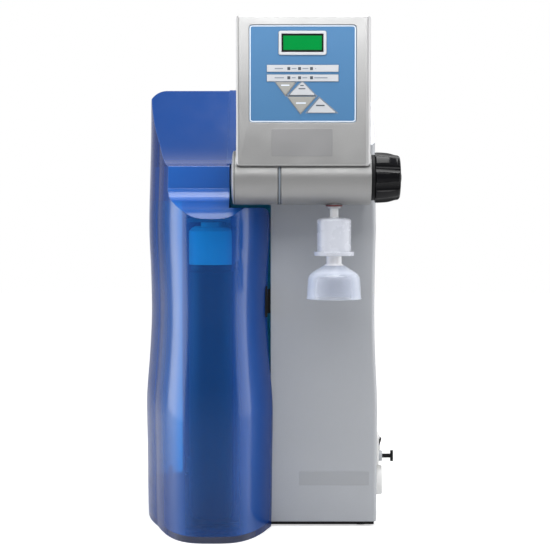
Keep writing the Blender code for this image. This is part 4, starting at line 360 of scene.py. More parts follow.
# The cover's plastic, and between which squared side components of its normal the gloss goes.
COVER_BLUE, COVER_TINT, COVER_COAT = (0.010, 0.095, 0.40), (0.05, 0.60, 1.0), 0.35
COVER_CLEAR, COVER_FACING = 0.72, 0.78
SIDE_TURN, SIDE_SPECULAR = (0.70, 0.86), (0.50, 0.06)


def preset(node, **sockets):
    for name, value in sockets.items():
        node.inputs[name.replace("_", " ")].default_value = value
    return node


def node_of(tree, kind, **sockets):
    return preset(tree.nodes.new(kind), **sockets)


def noise(tree, scale, detail=3.0, roughness=0.5, stretch=None):
    """A noise over the object's own coordinates."""
    place = tree.nodes.new("ShaderNodeTexCoord").outputs["Object"]
    texture = node_of(tree, "ShaderNodeTexNoise", Scale=scale, Detail=detail, Roughness=roughness)
    if stretch:
        mapping = node_of(tree, "ShaderNodeMapping", Scale=stretch)
        tree.links.new(place, mapping.inputs["Vector"])
        place = mapping.outputs["Vector"]
    tree.links.new(place, texture.inputs["Vector"])
    return texture.outputs["Fac"]


def axes_of(tree, output):
    """The X, Y and Z of a texture coordinate."""
    place = tree.nodes.new("ShaderNodeTexCoord")
    axes = tree.nodes.new("ShaderNodeSeparateXYZ")
    tree.links.new(place.outputs[output], axes.inputs[0])
    return axes.outputs


def spread(tree, source, low, high, start=0.3, end=0.7):
    """Map a noise to a range of values."""
    step = node_of(tree, "ShaderNodeMapRange", From_Min=start, From_Max=end, To_Min=low, To_Max=high)
    tree.links.new(source, step.inputs["Value"])
    return step.outputs["Result"]


def reckon(tree, operation, first, second):
    step = tree.nodes.new("ShaderNodeMath")
    step.operation = operation
    tree.links.new(first, step.inputs[0])
    tree.links.new(second, step.inputs[1])
    return step.outputs[0]


def times(tree, first, second):
    return reckon(tree, "MULTIPLY", first, second)


def larger(tree, first, second):
    return reckon(tree, "MAXIMUM", first, second)


def blend_colours(tree, share, first, second):
    step = tree.nodes.new("ShaderNodeMix")
    step.data_type = "RGBA"
    for socket, value in ((step.inputs[6], first), (step.inputs[7], second)):
        if isinstance(value, tuple):
            socket.default_value = (*value, 1.0)
        else:
            tree.links.new(value, socket)
    tree.links.new(share, step.inputs[0])
    return step.outputs[2]


def edge_share(tree, radius):
    """How near a sharp edge a point is: 0 on flats, towards 1 on the edge."""
    rounded = node_of(tree, "ShaderNodeBevel", Radius=radius)
    rounded.samples = BEVEL_SAMPLES
    true = tree.nodes.new("ShaderNodeNewGeometry")
    dot = tree.nodes.new("ShaderNodeVectorMath")
    dot.operation = "DOT_PRODUCT"
    tree.links.new(rounded.outputs["Normal"], dot.inputs[0])
    tree.links.new(true.outputs["Normal"], dot.inputs[1])
    return rounded.outputs["Normal"], spread(tree, dot.outputs["Value"], 1.0, 0.0, EDGE_DOT, 1.0)


def shade(colour, factor):
    return tuple(min(value * factor, 1.0) for value in colour)


def inside(tree, low, high, edge=0.0002):
    """1 inside a box in working X and Z, 0 outside it."""
    axes = axes_of(tree, "Object")
    shares = []
    for axis, start, end in (("X", low[0], high[0]), ("Z", low[1], high[1])):
        shares.append(spread(tree, axes[axis], 0.0, 1.0, start - edge, start + edge))
        shares.append(spread(tree, axes[axis], 1.0, 0.0, end - edge, end + edge))
    return times(tree, times(tree, shares[0], shares[1]), times(tree, shares[2], shares[3]))


def surface(name, colour, rough, vary=0.05, grain=0.00002, grain_scale=1400, metallic=0.0,
            coat=0.0, coat_rough=0.1, edge=0.0006, wear_and_highlight=1.15, specular=0.5, flake=0.0,
            rough_vary=0.05, stretch=None, patches_and_painted_light=(), grazing_shade_colour=None, edge_highlight_colour=None):
    """A moulded, painted or metal surface with soft tone changes, fine grain and softened edges,
    lightened as wear and as painted highlight.

    Each patch is a box in working X and Z with its own colour; the patches carry painted shade and
    painted highlights as well as the display's dark border."""
    material = bpy.data.materials.new(name)
    material.use_nodes = True
    tree = material.node_tree
    shader = tree.nodes["Principled BSDF"]
    tone = spread(tree, noise(tree, *TONE, stretch), 0.0, 1.0)
    base = blend_colours(tree, tone, shade(colour, 1 - vary), shade(colour, 1 + vary))
    if flake:
        speck = spread(tree, noise(tree, *SPECK), 0.0, 0.6, 0.42, 0.62)
        base = blend_colours(tree, speck, base, shade(colour, 1 + flake))
    for low, high, patch in patches_and_painted_light:
        base = blend_colours(tree, inside(tree, low, high, PATCH_EDGE), base, patch)
    # Painted shade: the colour turns darker where the surface is seen at a grazing slant.
    if grazing_shade_colour:
        weight = node_of(tree, "ShaderNodeLayerWeight", Blend=0.5)
        grazing_shade_share = spread(tree, weight.outputs["Facing"], 0.0, 1.0, *GRAZING_SHADE)
        base = blend_colours(tree, grazing_shade_share, base, grazing_shade_colour)
    normal = None
    if edge:
        normal, near = edge_share(tree, edge)
        # Edges turn lighter, part wear and part painted highlight.
        edge_wear_and_highlight = spread(tree, near, 0.0, WEAR_AND_HIGHLIGHT_SHARE, 0.0, 1.0)
        base = blend_colours(tree, edge_wear_and_highlight, base, edge_highlight_colour or shade(colour, wear_and_highlight))
    tree.links.new(base, shader.inputs["Base Color"])
    mottled = spread(tree, noise(tree, *MOTTLE), rough - rough_vary, rough + rough_vary)
    tree.links.new(mottled, shader.inputs["Roughness"])
    bump = node_of(tree, "ShaderNodeBump", Strength=1.0, Distance=grain)
    tree.links.new(noise(tree, grain_scale, 2, 0.5), bump.inputs["Height"])
    if normal:
        tree.links.new(normal, bump.inputs["Normal"])
    tree.links.new(bump.outputs["Normal"], shader.inputs["Normal"])
    preset(shader, Metallic=metallic, Coat_Weight=coat, Coat_Roughness=coat_rough,
           Specular_IOR_Level=specular)
    material.diffuse_color = (*colour, 1.0)
    return material


def see_through(material, tint, clear, facing=0.0, milky=()):
    """Let part of the light straight through, less at grazing views and in milky boxes."""
    tree = material.node_tree
    shader = tree.nodes["Principled BSDF"]
    out = tree.nodes["Material Output"]
    window = node_of(tree, "ShaderNodeBsdfTransparent", Color=(*tint, 1.0))
    mix = tree.nodes.new("ShaderNodeMixShader")
    mix.inputs[0].default_value = clear
    if facing:
        weight = node_of(tree, "ShaderNodeLayerWeight", Blend=facing)
        share = spread(tree, weight.outputs["Facing"], clear, clear * SLANT_CLEAR, 0.0, 1.0)
        for low, high in milky:
            left = spread(tree, inside(tree, low, high), 1.0, MILKY_CLEAR, 0.0, 1.0)
            share = times(tree, share, left)
        tree.links.new(share, mix.inputs[0])
    tree.links.new(shader.outputs[0], mix.inputs[1])
    tree.links.new(window.outputs[0], mix.inputs[2])
    tree.links.new(mix.outputs[0], out.inputs["Surface"])
    return material


def satin_sides(material):
    """Less gloss where a surface faces to the left or right."""
    tree = material.node_tree
    shader = tree.nodes["Principled BSDF"]
    side = axes_of(tree, "Normal")["X"]
    aside = times(tree, side, side)
    tree.links.new(spread(tree, aside, COVER_COAT, 0.0, *SIDE_TURN), shader.inputs["Coat Weight"])
    specular = spread(tree, aside, *SIDE_SPECULAR, *SIDE_TURN)
    tree.links.new(specular, shader.inputs["Specular IOR Level"])
    return material


def make_materials():
    """One material for each slot, and those that only the looks need. Boxes are in working X and Z."""
    m = {}
    wide, above = 0.2, 0.60
    # Painted shade: the cover's ramp and roof are darker than the rest of the moulding.
    painted_ramp_shade = ((-wide, 0.3905), (wide, above), (0.004, 0.036, 0.165))
    # Painted shadow: the cover's lowest part is darker, and less clear, where it meets the floor.
    bottom = ((-wide, -0.01), (wide, 0.0075), (0.003, 0.009, 0.045))
    dense = ((-wide, 0.3540), (wide, above))
    moulding = dict(grain=0.000006, grain_scale=700, coat=COVER_COAT, coat_rough=0.06,
                    rough_vary=0.03, patches_and_painted_light=(painted_ramp_shade, bottom))
    tinted = (COVER_TINT, COVER_CLEAR, COVER_FACING, (dense, bottom[:2]))
    # The cover's grazing colour is painted shade on its slanting sides, and its edge colour is a
    # painted highlight along the lip and rims.
    blue = surface("cover_blue_plastic", COVER_BLUE, 0.20, edge=0.0013,
                   grazing_shade_colour=(0.006, 0.026, 0.14), edge_highlight_colour=(0.15, 0.28, 0.62), **moulding)
    m["cover_blue"] = see_through(satin_sides(blue), *tinted)
    plain = surface("cover_blue_plain", COVER_BLUE, 0.20, edge=0.0, **moulding)
    m["cover_plain"] = see_through(plain, *tinted)
    lining = surface("cover_blue_lining", COVER_BLUE, 0.25, grain=0.000004, edge=0.0)
    m["cover_lining"] = see_through(lining, (0.97, 0.985, 1.0), 0.96)
    silver = dict(vary=0.03, grain=0.00001, grain_scale=2600, metallic=0.50, flake=0.2,
                  edge=0.0008, wear_and_highlight=1.25)
    # Painted highlights: lighter strips down the head's rounded right and left edges.
    right_edge_highlight = ((0.1574, 0.38), (0.17, 0.56), (0.46, 0.46, 0.465))
    left_edge_highlight = ((0.0255, 0.389), (0.0277, 0.56), (0.42, 0.42, 0.43))
    m["silver_grey"] = surface("satin_silver_paint", (0.31, 0.31, 0.31), 0.34,
                               patches_and_painted_light=(right_edge_highlight, left_edge_highlight), **silver)
    # Painted shade: the same silver paint made darker for the barrel, which sits in the head's shade.
    m["barrel_silver"] = surface("satin_silver_painted_shade", (0.245, 0.245, 0.245), 0.36, **silver)
    m["name_patch"] = surface("satin_silver_patch", (0.265, 0.265, 0.27), 0.36, vary=0.04,
                              grain=0.000008, grain_scale=2600, metallic=0.45, edge=0.0003)
    m["cabinet_grey"] = surface("cabinet_grey_paint", (0.365, 0.378, 0.400), 0.42, vary=0.03,
                                grain=0.000025, grain_scale=1700, metallic=0.15, flake=0.2,
                                edge=0.0010, wear_and_highlight=1.3)
    m["label_patch"] = surface("cabinet_grey_patch", (0.345, 0.355, 0.37), 0.38, vary=0.03,
                               grain=0.00001, edge=0.0003)
    m["sheet_grey"] = surface("sheet_grey_paint", (0.30, 0.305, 0.315), 0.5, grain=0.00003)
    m["matt_black"] = surface("matt_black_plastic", (0.010, 0.010, 0.011), 0.5, vary=0.2,
                              wear_and_highlight=2.0, specular=0.12)
    m["gloss_black"] = surface("gloss_black_plastic", (0.004, 0.004, 0.005), 0.16, vary=0.15,
                               grain=0.000004, wear_and_highlight=1.6, specular=0.14)
    m["white_plastic"] = surface("white_plastic", (0.415, 0.43, 0.455), 0.32, vary=0.025, edge=0.0004)
    m["capsule"] = surface("milky_capsule_plastic", (0.47, 0.49, 0.55), 0.28, vary=0.03, grain=0.000006,
                           edge=0.0005)
    m["pale_plastic"] = surface("pale_plastic", (0.84, 0.84, 0.83), 0.4, vary=0.03)
    # Painted light: the bell's neck, shaded by the flange, is turned almost white and made less clear.
    painted_light_neck = ((0.10, 0.2878), (0.15, 0.2990))
    clear = surface("clear_bell_plastic", (0.64, 0.68, 0.76), 0.12, vary=0.02, grain=0.000004,
                    edge=0.0004, wear_and_highlight=1.1, rough_vary=0.03, patches_and_painted_light=((*painted_light_neck, (0.96, 0.96, 0.98)),))
    m["clear_plastic"] = see_through(clear, (0.96, 0.97, 1.0), 0.86, 0.45, (painted_light_neck,))
    stem = surface("milky_stem_plastic", (0.66, 0.67, 0.69), 0.22, vary=0.03, grain=0.000006)
    m["milky"] = see_through(stem, (0.95, 0.97, 1.0), 0.15, 0.3)
    m["outlet_red"] = surface("outlet_red_plastic", (0.10, 0.006, 0.008), 0.35, vary=0.1)
    m["keypad_blue"] = surface("keypad_blue_film", (0.052, 0.152, 0.300), 0.42, vary=0.02,
                               grain=0.00001, grain_scale=3000, edge=0.0003, wear_and_highlight=1.1, specular=0.2)
    flat = dict(grain=0.000005, edge=0.0)
    # The pale print also paints the keypad rim's highlight, and the grey print the key rims' and the
    # seam's shade.
    m["pale_print_and_highlight"] = surface("pale_print_and_highlight", (0.56, 0.62, 0.70), 0.42, vary=0.03, **flat)
    m["grey_print_and_shade"] = surface("grey_print_and_shade", (0.17, 0.20, 0.24), 0.42, vary=0.03, **flat)
    m["dark_print"] = surface("dark_print", (0.035, 0.045, 0.06), 0.4, vary=0.1, **flat)
    near_black = (0.010, 0.010, 0.012)
    border = [(low, high, near_black) for low, high in (
        ((0.07, 0.50), (0.0741, 0.53)), ((0.1127, 0.50), (0.12, 0.53)),
        ((0.07, 0.50), (0.12, 0.5057)), ((0.07, 0.5200), (0.12, 0.53)))]
    m["display_green"] = surface("display_green_film", (0.001, 0.190, 0.034), 0.18,
                                 grain=0.000003, edge=0.0, specular=0.01, patches_and_painted_light=border)
    m["key_grey"] = surface("key_grey_film", (0.255, 0.255, 0.24), 0.45, vary=0.03)
    m["board_green"] = surface("board_green", (0.01, 0.09, 0.03), 0.45, vary=0.2, grain=0.00005)
    m["steel"] = surface("brushed_steel", (0.56, 0.56, 0.57), 0.3, metallic=1.0, stretch=(1, 1, 0.05))
    m["aluminium"] = surface("anodised_aluminium", (0.62, 0.62, 0.63), 0.4, metallic=1.0,
                             stretch=(1, 0.05, 1))
    # Painted shade: steel darkened for the hinge shaft seen in the barrel's seam.
    m["dark_steel"] = surface("dark_steel", (0.10, 0.10, 0.11), 0.3, metallic=1.0)
    m["foot_rubber"] = surface("foot_rubber", (0.016, 0.016, 0.016), 0.85, vary=0.2, grain=0.00006)
    m["cartridge_graphite"] = surface("cartridge_graphite", (0.030, 0.032, 0.050), 0.35, vary=0.08)
    return m


# ---- the cover

CABINET_HEIGHT = 0.477
# The waist: heights as shares of the cabinet's, and how far the sides have drawn in there.
LEVELS = (0.0, 0.03, 0.15, 0.27, 0.31, 0.37, 0.43, 0.49, 0.58, 0.68, 0.82, 0.90, 1.0)
WAISTS = (0.30, 0.22, 0.12, 0.0, 0.15, 0.55, 0.85, 1.0, 0.85, 0.55, 0.80, 0.95, 1.0)
HALF, FLARE, FLARE_LENGTH = 0.0635, 0.0166, 0.090
COLUMN_DEPTH, BOW_POWER = 0.086, 3.2
WAIST_SIDE, WAIST_FRONT = 0.006, 0.003
REAR, WALL = 0.366, 0.0025
COVER_BOTTOM = 0.0005
RAMP_FRONT, RAMP_LENGTH, RAMP_LOW, RAMP_POWER = 0.042, 0.108, 0.391, 1.45
LIP = 0.334
COLUMN_TOP, TOP_RADIUS, CORNER = 0.347, 0.009, 0.019
STEP_X = 0.018
LIP_RADIUS = 0.0010
SKIN_RIGHT, SKIN_FRONT = 0.0236, 0.048
HINGE_X, HINGE_Y, LUG_RADIUS, LUG_HEIGHT = -0.067, 0.360, 0.006, 0.004
OVER = 0.010
# The scoop's line: how far towards the ramp's front, and how far up from the lip to the ramp.
SCOOP = ((0.0, 0.0), (0.26, 0.175), (0.55, 0.295), (0.80, 0.385), (0.93, 0.480), (1.0, 0.58))
RAMP_STEPS = 28
# How far back the tools that cut the cover reach, and the hollow's foot and bay.
SIDE_END, TOOL_END, HOLLOW_LENGTH = 0.40, 0.42, 0.45
FOOT_TOP, FOOT_WALL, FOOT_REAR = 0.0075, 0.005, 0.385
BAY_LOW, BAY_REAR = 0.010, 0.3825
COLUMN_LAP = 0.001
# The thin blue lip over the cabinet's ramp and roof, and the root that joins it to the cover.
SKIN_LAP, SKIN_GAP, SKIN_CURVE_END = 0.0030, 0.0002, 0.150
SKIN_HEIGHTS, ROOT_HEIGHTS = (0.00025, 0.0008), (-0.0010, 0.0006)
LUG_LEVELS, PIN_HOLE, LATCH_PLAY = (0.010, 0.441), 0.0028, 0.0003
# Which faces are the upright wall, the lining, the lip and the step beside it.
FACES_FRONT, UPRIGHT_LOW = -0.995, 0.36
OFF_OUTSIDE, OFF_RAMP, STEP_BAND, UNDER_RAMP = 0.0003, 0.0001, 0.0035, 0.003


def waist(z):
    """How far the sides have drawn in at a height, from 0 to 1."""
    share = min(max(z / CABINET_HEIGHT, 0.0), 1.0)
    i = max(k for k in range(len(LEVELS) - 1) if LEVELS[k] <= share)
    span = LEVELS[i + 1] - LEVELS[i]
    t = (share - LEVELS[i]) / span

    def slope(k):
        low, high = max(k - 1, 0), min(k + 1, len(LEVELS) - 1)
        return (WAISTS[high] - WAISTS[low]) / (LEVELS[high] - LEVELS[low]) * span

    start, end = slope(i), slope(i + 1)
    rise = WAISTS[i] - WAISTS[i + 1]
    square, cube = -3 * rise - 2 * start - end, 2 * rise + start + end
    return WAISTS[i] + start * t + square * t ** 2 + cube * t ** 3


def ramp_z(y):
    """The height of the cabinet's ramp and roof at a depth."""
    share = min(max((y - RAMP_FRONT) / RAMP_LENGTH, 0.0), 1.0)
    return RAMP_LOW + (CABINET_HEIGHT - RAMP_LOW) * share ** RAMP_POWER


def cover_section(z, rear, bow_steps=56, flare_steps=14):
    """The cover's outline seen from above at a height, with the bow at its front."""
    half = HALF - WAIST_SIDE * waist(z)
    front = WAIST_FRONT * waist(z)
    bow = []
    for i in range(bow_steps + 1):
        across = math.sin(math.pi * (i / bow_steps - 0.5))
        bow.append((half * across, front + (COLUMN_DEPTH - front) * abs(across) ** BOW_POWER))
    flare = []
    for i in range(1, flare_steps + 1):
        share = i / flare_steps
        flare.append((-half - FLARE * (1 - (1 - share) ** 2), COLUMN_DEPTH + FLARE_LENGTH * share))
    return [(half, rear), (-half - FLARE, rear)] + list(reversed(flare)) + bow


def ring_levels(bottom, top, count):
    return [bottom + (top - bottom) * i / count for i in range(count + 1)]


def tree_of(obj):
    """A search tree of an object's faces, in working coordinates."""
    shape = bmesh.new()
    shape.from_mesh(obj.data)
    tree = BVHTree.FromBMesh(shape)
    shape.free()
    return tree


def cover_shape():
    """The cover's moulding, and a search tree of its outside from before it is hollowed."""
    far = HALF + FLARE + OVER
    top = CABINET_HEIGHT + OVER
    rise = RAMP_LOW - LIP
    scoop = curve_through([(depth * RAMP_FRONT, LIP + height * rise) for depth, height in SCOOP], 6)
    places = [RAMP_FRONT + RAMP_LENGTH * i / RAMP_STEPS for i in range(RAMP_STEPS + 1)]
    ramp = [(y, ramp_z(y)) for y in places if y > RAMP_FRONT + LIP_RADIUS]
    lip = arc((RAMP_FRONT + LIP_RADIUS, RAMP_LOW - LIP_RADIUS), LIP_RADIUS, 90, 180, 6)
    side = [(-OVER, -OVER), (SIDE_END, -OVER), (SIDE_END, CABINET_HEIGHT)]
    side += list(reversed(ramp)) + lip + list(reversed(scoop)) + [(-OVER, LIP)]
    rings = []
    for z in ring_levels(COVER_BOTTOM, top, 72):
        rings.append([(x, y, z) for x, y in cover_section(z, REAR)])
    cover = loft("cartridge_cover_moulding", rings, math.radians(60))
    trim(cover, prism("side", side, "YZ", -far, 2 * far))

    def front_view(wall):
        left = -(HALF + FLARE) + WAIST_SIDE * waist(CABINET_HEIGHT)
        shoulder_z = COLUMN_TOP - TOP_RADIUS
        shoulder_x = HALF - WAIST_SIDE * waist(shoulder_z)
        outline = [(-far, -OVER), (far, -OVER), (far, shoulder_z)]
        outline += arc((shoulder_x - TOP_RADIUS, shoulder_z), TOP_RADIUS - wall, 0, 90, 10)
        outline += [(STEP_X - wall, COLUMN_TOP - wall), (STEP_X - wall, CABINET_HEIGHT - wall)]
        outline += arc((left + CORNER, CABINET_HEIGHT - CORNER), CORNER - wall, 90, 180, 10)
        return outline + [(-far, CABINET_HEIGHT - CORNER)]

    trim(cover, prism("front", front_view(0), "XZ", -OVER, TOOL_END))
    behind = COLUMN_DEPTH - COLUMN_LAP
    cut(cover, box("beside", (STEP_X, behind, -OVER), (far, TOOL_END, top)))
    outside = tree_of(cover)

    rings = []
    for z in (-OVER, FOOT_TOP):
        rings.append([(x, y, z) for x, y in inset(cover_section(z, FOOT_REAR), FOOT_WALL)])
    for z in ring_levels(BAY_LOW, top, 60):
        rings.append([(x, y, z) for x, y in inset(cover_section(z, BAY_REAR), WALL)])
    hollow = loft("hollow", rings, math.radians(60))
    roofline = inset(side, WALL)[3:]
    inner_side = [(-OVER, -2 * OVER), (TOOL_END, -2 * OVER), (TOOL_END, CABINET_HEIGHT - WALL)]
    inner_side += roofline[:-1] + [(-OVER, LIP - WALL)]
    trim(hollow, prism("hollow_side", inner_side, "YZ", -far, 2 * far))
    trim(hollow, prism("hollow_front", front_view(WALL), "XZ", -OVER, HOLLOW_LENGTH))
    cut(cover, hollow)
    edge = behind + WALL
    open_side = [(edge, -OVER), (TOOL_END, -OVER), (TOOL_END, CABINET_HEIGHT - WALL)]
    open_side += [point for point in roofline if point[0] > edge]
    open_side += [(edge, ramp_z(behind) - WALL)]
    cut(cover, prism("open_side", open_side, "YZ", 0, far))
    return cover, outside


def ramp_strip(name, left, right, low, high):
    """A strip that follows the ramp and roof between two heights above them."""
    line = ring_levels(SKIN_FRONT, SKIN_CURVE_END, 24) + [REAR]
    outline = [(y, ramp_z(y) + low) for y in line] + [(y, ramp_z(y) + high) for y in reversed(line)]
    return prism(name, outline, "YZ", left, right - left)


def add_cover(m):
    """The cover with its lip, hinge lugs and latch way, and its three materials."""
    cover, outside = cover_shape()
    fuse(cover, ramp_strip("skin", STEP_X - SKIN_LAP, SKIN_RIGHT, *SKIN_HEIGHTS))
    fuse(cover, ramp_strip("skin_root", STEP_X - SKIN_LAP, STEP_X - SKIN_GAP, *ROOT_HEIGHTS))
    pin_hole = [(0, 0.008), (PIN_HOLE, 0.008), (PIN_HOLE, -0.004), (0, -0.004)]
    for low in LUG_LEVELS:
        lug_x = -(HALF + FLARE) + WAIST_SIDE * waist(low) + WALL / 2
        outline = [(lug_x, HINGE_Y - LUG_RADIUS)]
        outline += arc((HINGE_X, HINGE_Y), LUG_RADIUS, -90, 90, 16)
        outline += [(lug_x, HINGE_Y + LUG_RADIUS)]
        fuse(cover, prism("lug", outline, "XY", low, LUG_HEIGHT))
        cut(cover, lathe("hole", pin_hole, (HINGE_X, HINGE_Y, low), steps=32))
    latch_low, latch_high = (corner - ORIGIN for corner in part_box("cover_latch"))
    slot = []
    half = (latch_high.y - latch_low.y) / 2 + LATCH_PLAY
    middle_y = (latch_low.y + latch_high.y) / 2
    for z, start in ((latch_high.z - half + LATCH_PLAY, 0), (latch_low.z + half - LATCH_PLAY, 180)):
        slot += arc((middle_y, z), half, start, start + 180, 12)
    cut(cover, prism("latch_way", slot, "YZ", latch_low.x - 0.010, 0.020))
    tidy_edges(cover, math.radians(28), 0.05)
    # The scoop's upright wall stays flat up to its edges.
    upright = {key for polygon in cover.data.polygons
               if polygon.normal.y < FACES_FRONT and polygon.center.z > UPRIGHT_LOW
               for key in polygon.edge_keys}
    for edge in cover.data.edges:
        if edge.key in upright:
            edge.use_edge_sharp = True
    stand_for(cover, "cartridge_cover", m["cover_blue"])
    cover.data.materials.append(m["cover_lining"])
    cover.data.materials.append(m["cover_plain"])
    for polygon in cover.data.polygons:
        middle = polygon.center
        roof = ramp_z(middle.y)
        on_skin = middle.z > roof + OFF_RAMP and middle.y > SKIN_FRONT
        by_step = middle.x > STEP_X - STEP_BAND and middle.z > roof - UNDER_RAMP
        if outside.find_nearest(middle)[3] > OFF_OUTSIDE and not on_skin:
            polygon.material_index = 1
        elif by_step and middle.y > RAMP_FRONT:
            polygon.material_index = 2


# ---- outlet filter

# The outlet's axis in working X and Y.
OUTLET = (0.1265, 0.009)


def outlet_lathe(m, node, kind, profile, top, ring=False, angle=SMOOTH):
    turned = lathe(node + "_dressed", profile, (*OUTLET, top), "Z", 96, ring, angle)
    return stand_for(turned, node, m[kind])


def add_filter(m):
    """Stem, capsule, bell and nozzle, each turned from a finer profile than its solid."""
    stem_top, capsule_top, bell_top = 0.3461, 0.3371, 0.2966
    stem = [(0, 0.010), (0.0028, 0.010), (0.0033, 0.0095), (0.0033, 0.0022), (0.0043, 0.0020)]
    stem += [(0.0045, 0.0016), (0.0045, -0.0070), (0.0047, -0.0084), (0.0055, -0.0100), (0, -0.0100)]
    outlet_lathe(m, "filter_stem", "milky", stem, stem_top)

    body = [(0, 0), (0.0058, -0.0001), (0.0108, -0.0004), (0.0143, -0.0008)]
    body += arc((0.0143, -0.0040), 0.0032, 80, 0, 8)
    body += [(0.0175, -0.0344), (0.0177, -0.0349), (0.0182, -0.0351)]
    body += arc((0.0202, -0.0356), 0.0005, 90, 0, 4) + arc((0.0202, -0.0388), 0.0005, 0, -90, 4)
    body += [(0.0130, -0.0393), (0, -0.0393)]
    outlet_lathe(m, "filter_capsule", "capsule", body, capsule_top)

    side = [(0.0238, -0.0171), (0.0256, -0.0196), (0.0267, -0.0230), (0.0272, -0.0290),
            (0.0277, -0.0380)]
    outer = [(0.0079, 0.0011), (0.0079, -0.0066), (0.0082, -0.0072), (0.0092, -0.0079),
             (0.0215, -0.0155)]
    outer += curve_through(side, 4) + [(0.0279, -0.0421), (0.0283, -0.0425), (0.0285, -0.0430)]
    outer += [(0.0283, -0.0433), (0.0270, -0.0433)]
    inner = [(0.0266, -0.0425), (0.0265, -0.0380), (0.0260, -0.0290), (0.0254, -0.0236),
             (0.0246, -0.0206), (0.0231, -0.0183), (0.0212, -0.0171), (0.0086, -0.0092),
             (0.0067, -0.0082), (0.0067, 0.0011)]
    outlet_lathe(m, "filter_bell", "clear_plastic", outer + inner, bell_top, ring=True,
                 angle=math.radians(50))

    tube = [(0.0025, 0), (0.0055, 0), (0.0055, -0.0012), (0.0043, -0.0012), (0.0043, -0.0178)]
    tube += curve_through([(0.0046, -0.0186), (0.0072, -0.0197), (0.0100, -0.0204)], 4)
    tube += [(0.0105, -0.0207), (0.0093, -0.0207), (0.0060, -0.0199), (0.0025, -0.0196)]
    outlet_lathe(m, "filter_nozzle", "pale_plastic", tube, bell_top, ring=True)

    ring = [(0.0084, 0.0035), (0.00875, 0.0033), (0.00875, 0.0022), (0.0084, 0.0020),
            (0.0068, 0.0020), (0.0068, 0.0035)]
    outlet_lathe(m, "outlet_collar", "outlet_red", ring, 0.3464, ring=True)


# ---- knob and barrel ends

# The barrel's axis in working Y and Z.
BARREL = (0.009, 0.378)
SCALLOPS = 8


def barrel_lathe(m, node, kind, profile, start, ring=False, steps=96):
    turned = lathe(node + "_dressed", profile, (start, *BARREL), "X", steps, ring)
    return stand_for(turned, node, m[kind])


def add_knob(m):
    """The scalloped knob with its domed cap and collar."""
    start, end = 0.1681, 0.0256
    profile = [(0.0078, end)] + arc((0.0197, end - 0.0033), 0.0033, 90, 0, 8)
    flank = [(0.0234, 0.0200), (0.0250, 0.0143), (0.0257, 0.0085), (0.0260, 0.0030)]
    profile += curve_through(flank, 4)
    profile += [(0.0259, 0.0006), (0.0252, 0), (0.0043, 0), (0.0043, 0.0241), (0.0078, 0.0241)]
    handle = lathe("dispense_knob_dressed", profile, (start, *BARREL), "X", 96, ring=True)
    lean = math.atan2(0.0030, 0.0256)
    tool = bmesh.new()
    for i in range(SCALLOPS):
        made = bmesh.ops.create_cone(tool, cap_ends=True, segments=64, radius1=0.008, radius2=0.008,
                                     depth=0.045)["verts"]
        bmesh.ops.rotate(tool, matrix=Matrix.Rotation(-lean, 3, "Y"), verts=made)
        bmesh.ops.translate(tool, vec=(0.0303, 0, 0), verts=made)
        around = math.tau * (i + 0.5) / SCALLOPS
        bmesh.ops.rotate(tool, matrix=Matrix.Rotation(around, 3, "Z"), verts=made)
    bmesh.ops.rotate(tool, matrix=TURN_TO["X"], verts=tool.verts)
    bmesh.ops.translate(tool, vec=(start + end / 2, *BARREL), verts=tool.verts)
    cut(handle, loose("scallops", clean_mesh("scallops", tool)))
    tidy_edges(handle, math.radians(24), 0.02)
    soften(handle, 0.0009, 3, math.radians(24))
    settle(handle)
    stand_for(handle, "dispense_knob", m["gloss_black"])
    cap = [(0, 0.0276), (0.0030, 0.02750), (0.0055, 0.02700), (0.0068, 0.02650), (0.0075, 0.02560)]
    cap += [(0.0075, 0.0244), (0, 0.0244)]
    barrel_lathe(m, "knob_cap", "gloss_black", curve_through(cap[:5], 4) + cap[5:], start)
    collar = [(0.0230, 0.0040), (0.0235, 0.0036), (0.0235, 0.0004), (0.0230, 0), (0.0043, 0),
              (0.0043, 0.0040)]
    barrel_lathe(m, "knob_collar", "matt_black", collar, 0.1638, ring=True)


def add_barrel(m):
    """The domed end, a dark ring that paints the shade in the seam, and the two barrel lengths in
    silver darkened as painted shade, with softened rims.
    """
    dome = [(0, 0), (0.0269, 0), (0.0275, -0.0004)]
    dome += [(0.0275 * math.cos(math.radians(a)), -0.0006 - 0.0031 * math.sin(math.radians(a)))
             for a in range(6, 90, 6)] + [(0, -0.0037)]
    barrel_lathe(m, "barrel_end_cap", "silver_grey", dome, 0.0242)
    # Painted shade: a dark grey ring fills the seam between the two barrel lengths.
    shade_ring_profile = [(0.0269, 0.0006), (0.0272, 0.0009), (0.0272, 0.0023), (0.0269, 0.0026),
            (0.0240, 0.0026), (0.0240, 0.0006)]
    shade_ring = lathe("seam_shade_ring", shade_ring_profile, (0.0687, *BARREL), "X", 96, ring=True)
    wear(shade_ring, "cabinet", m["grey_print_and_shade"], "matt_black")
    for node in ("hinge_barrel", "dispense_arm"):
        # The barrel lengths wear the silver darkened as painted shade.
        stand_for(smooth_copy(node, 0.0005, segments=3), node, m["barrel_silver"])


# ---- head details

# The keypad's left, low, right and high edges, its front, and the field of the keys' corners.
KEYPAD, FILM = (0.0397, 0.4331, 0.1474, 0.5307), -0.0214
KEY_MARGIN, KEY_FIELD = 0.0003, (0.1071, 0.0970)
KEY_SHARES = {
    "key_down_left": ((0.2484, 0.4134), (0.3407, 0.2780), (0.4331, 0.4134)),
    "key_up_left": ((0.4958, 0.4175), (0.3740, 0.2821), (0.6140, 0.2821)),
    "key_down_right": ((0.3610, 0.2648), (0.4792, 0.0927), (0.6223, 0.2648)),
    "key_up_right": ((0.6556, 0.2505), (0.5420, 0.1018), (0.8116, 0.1018)),
}
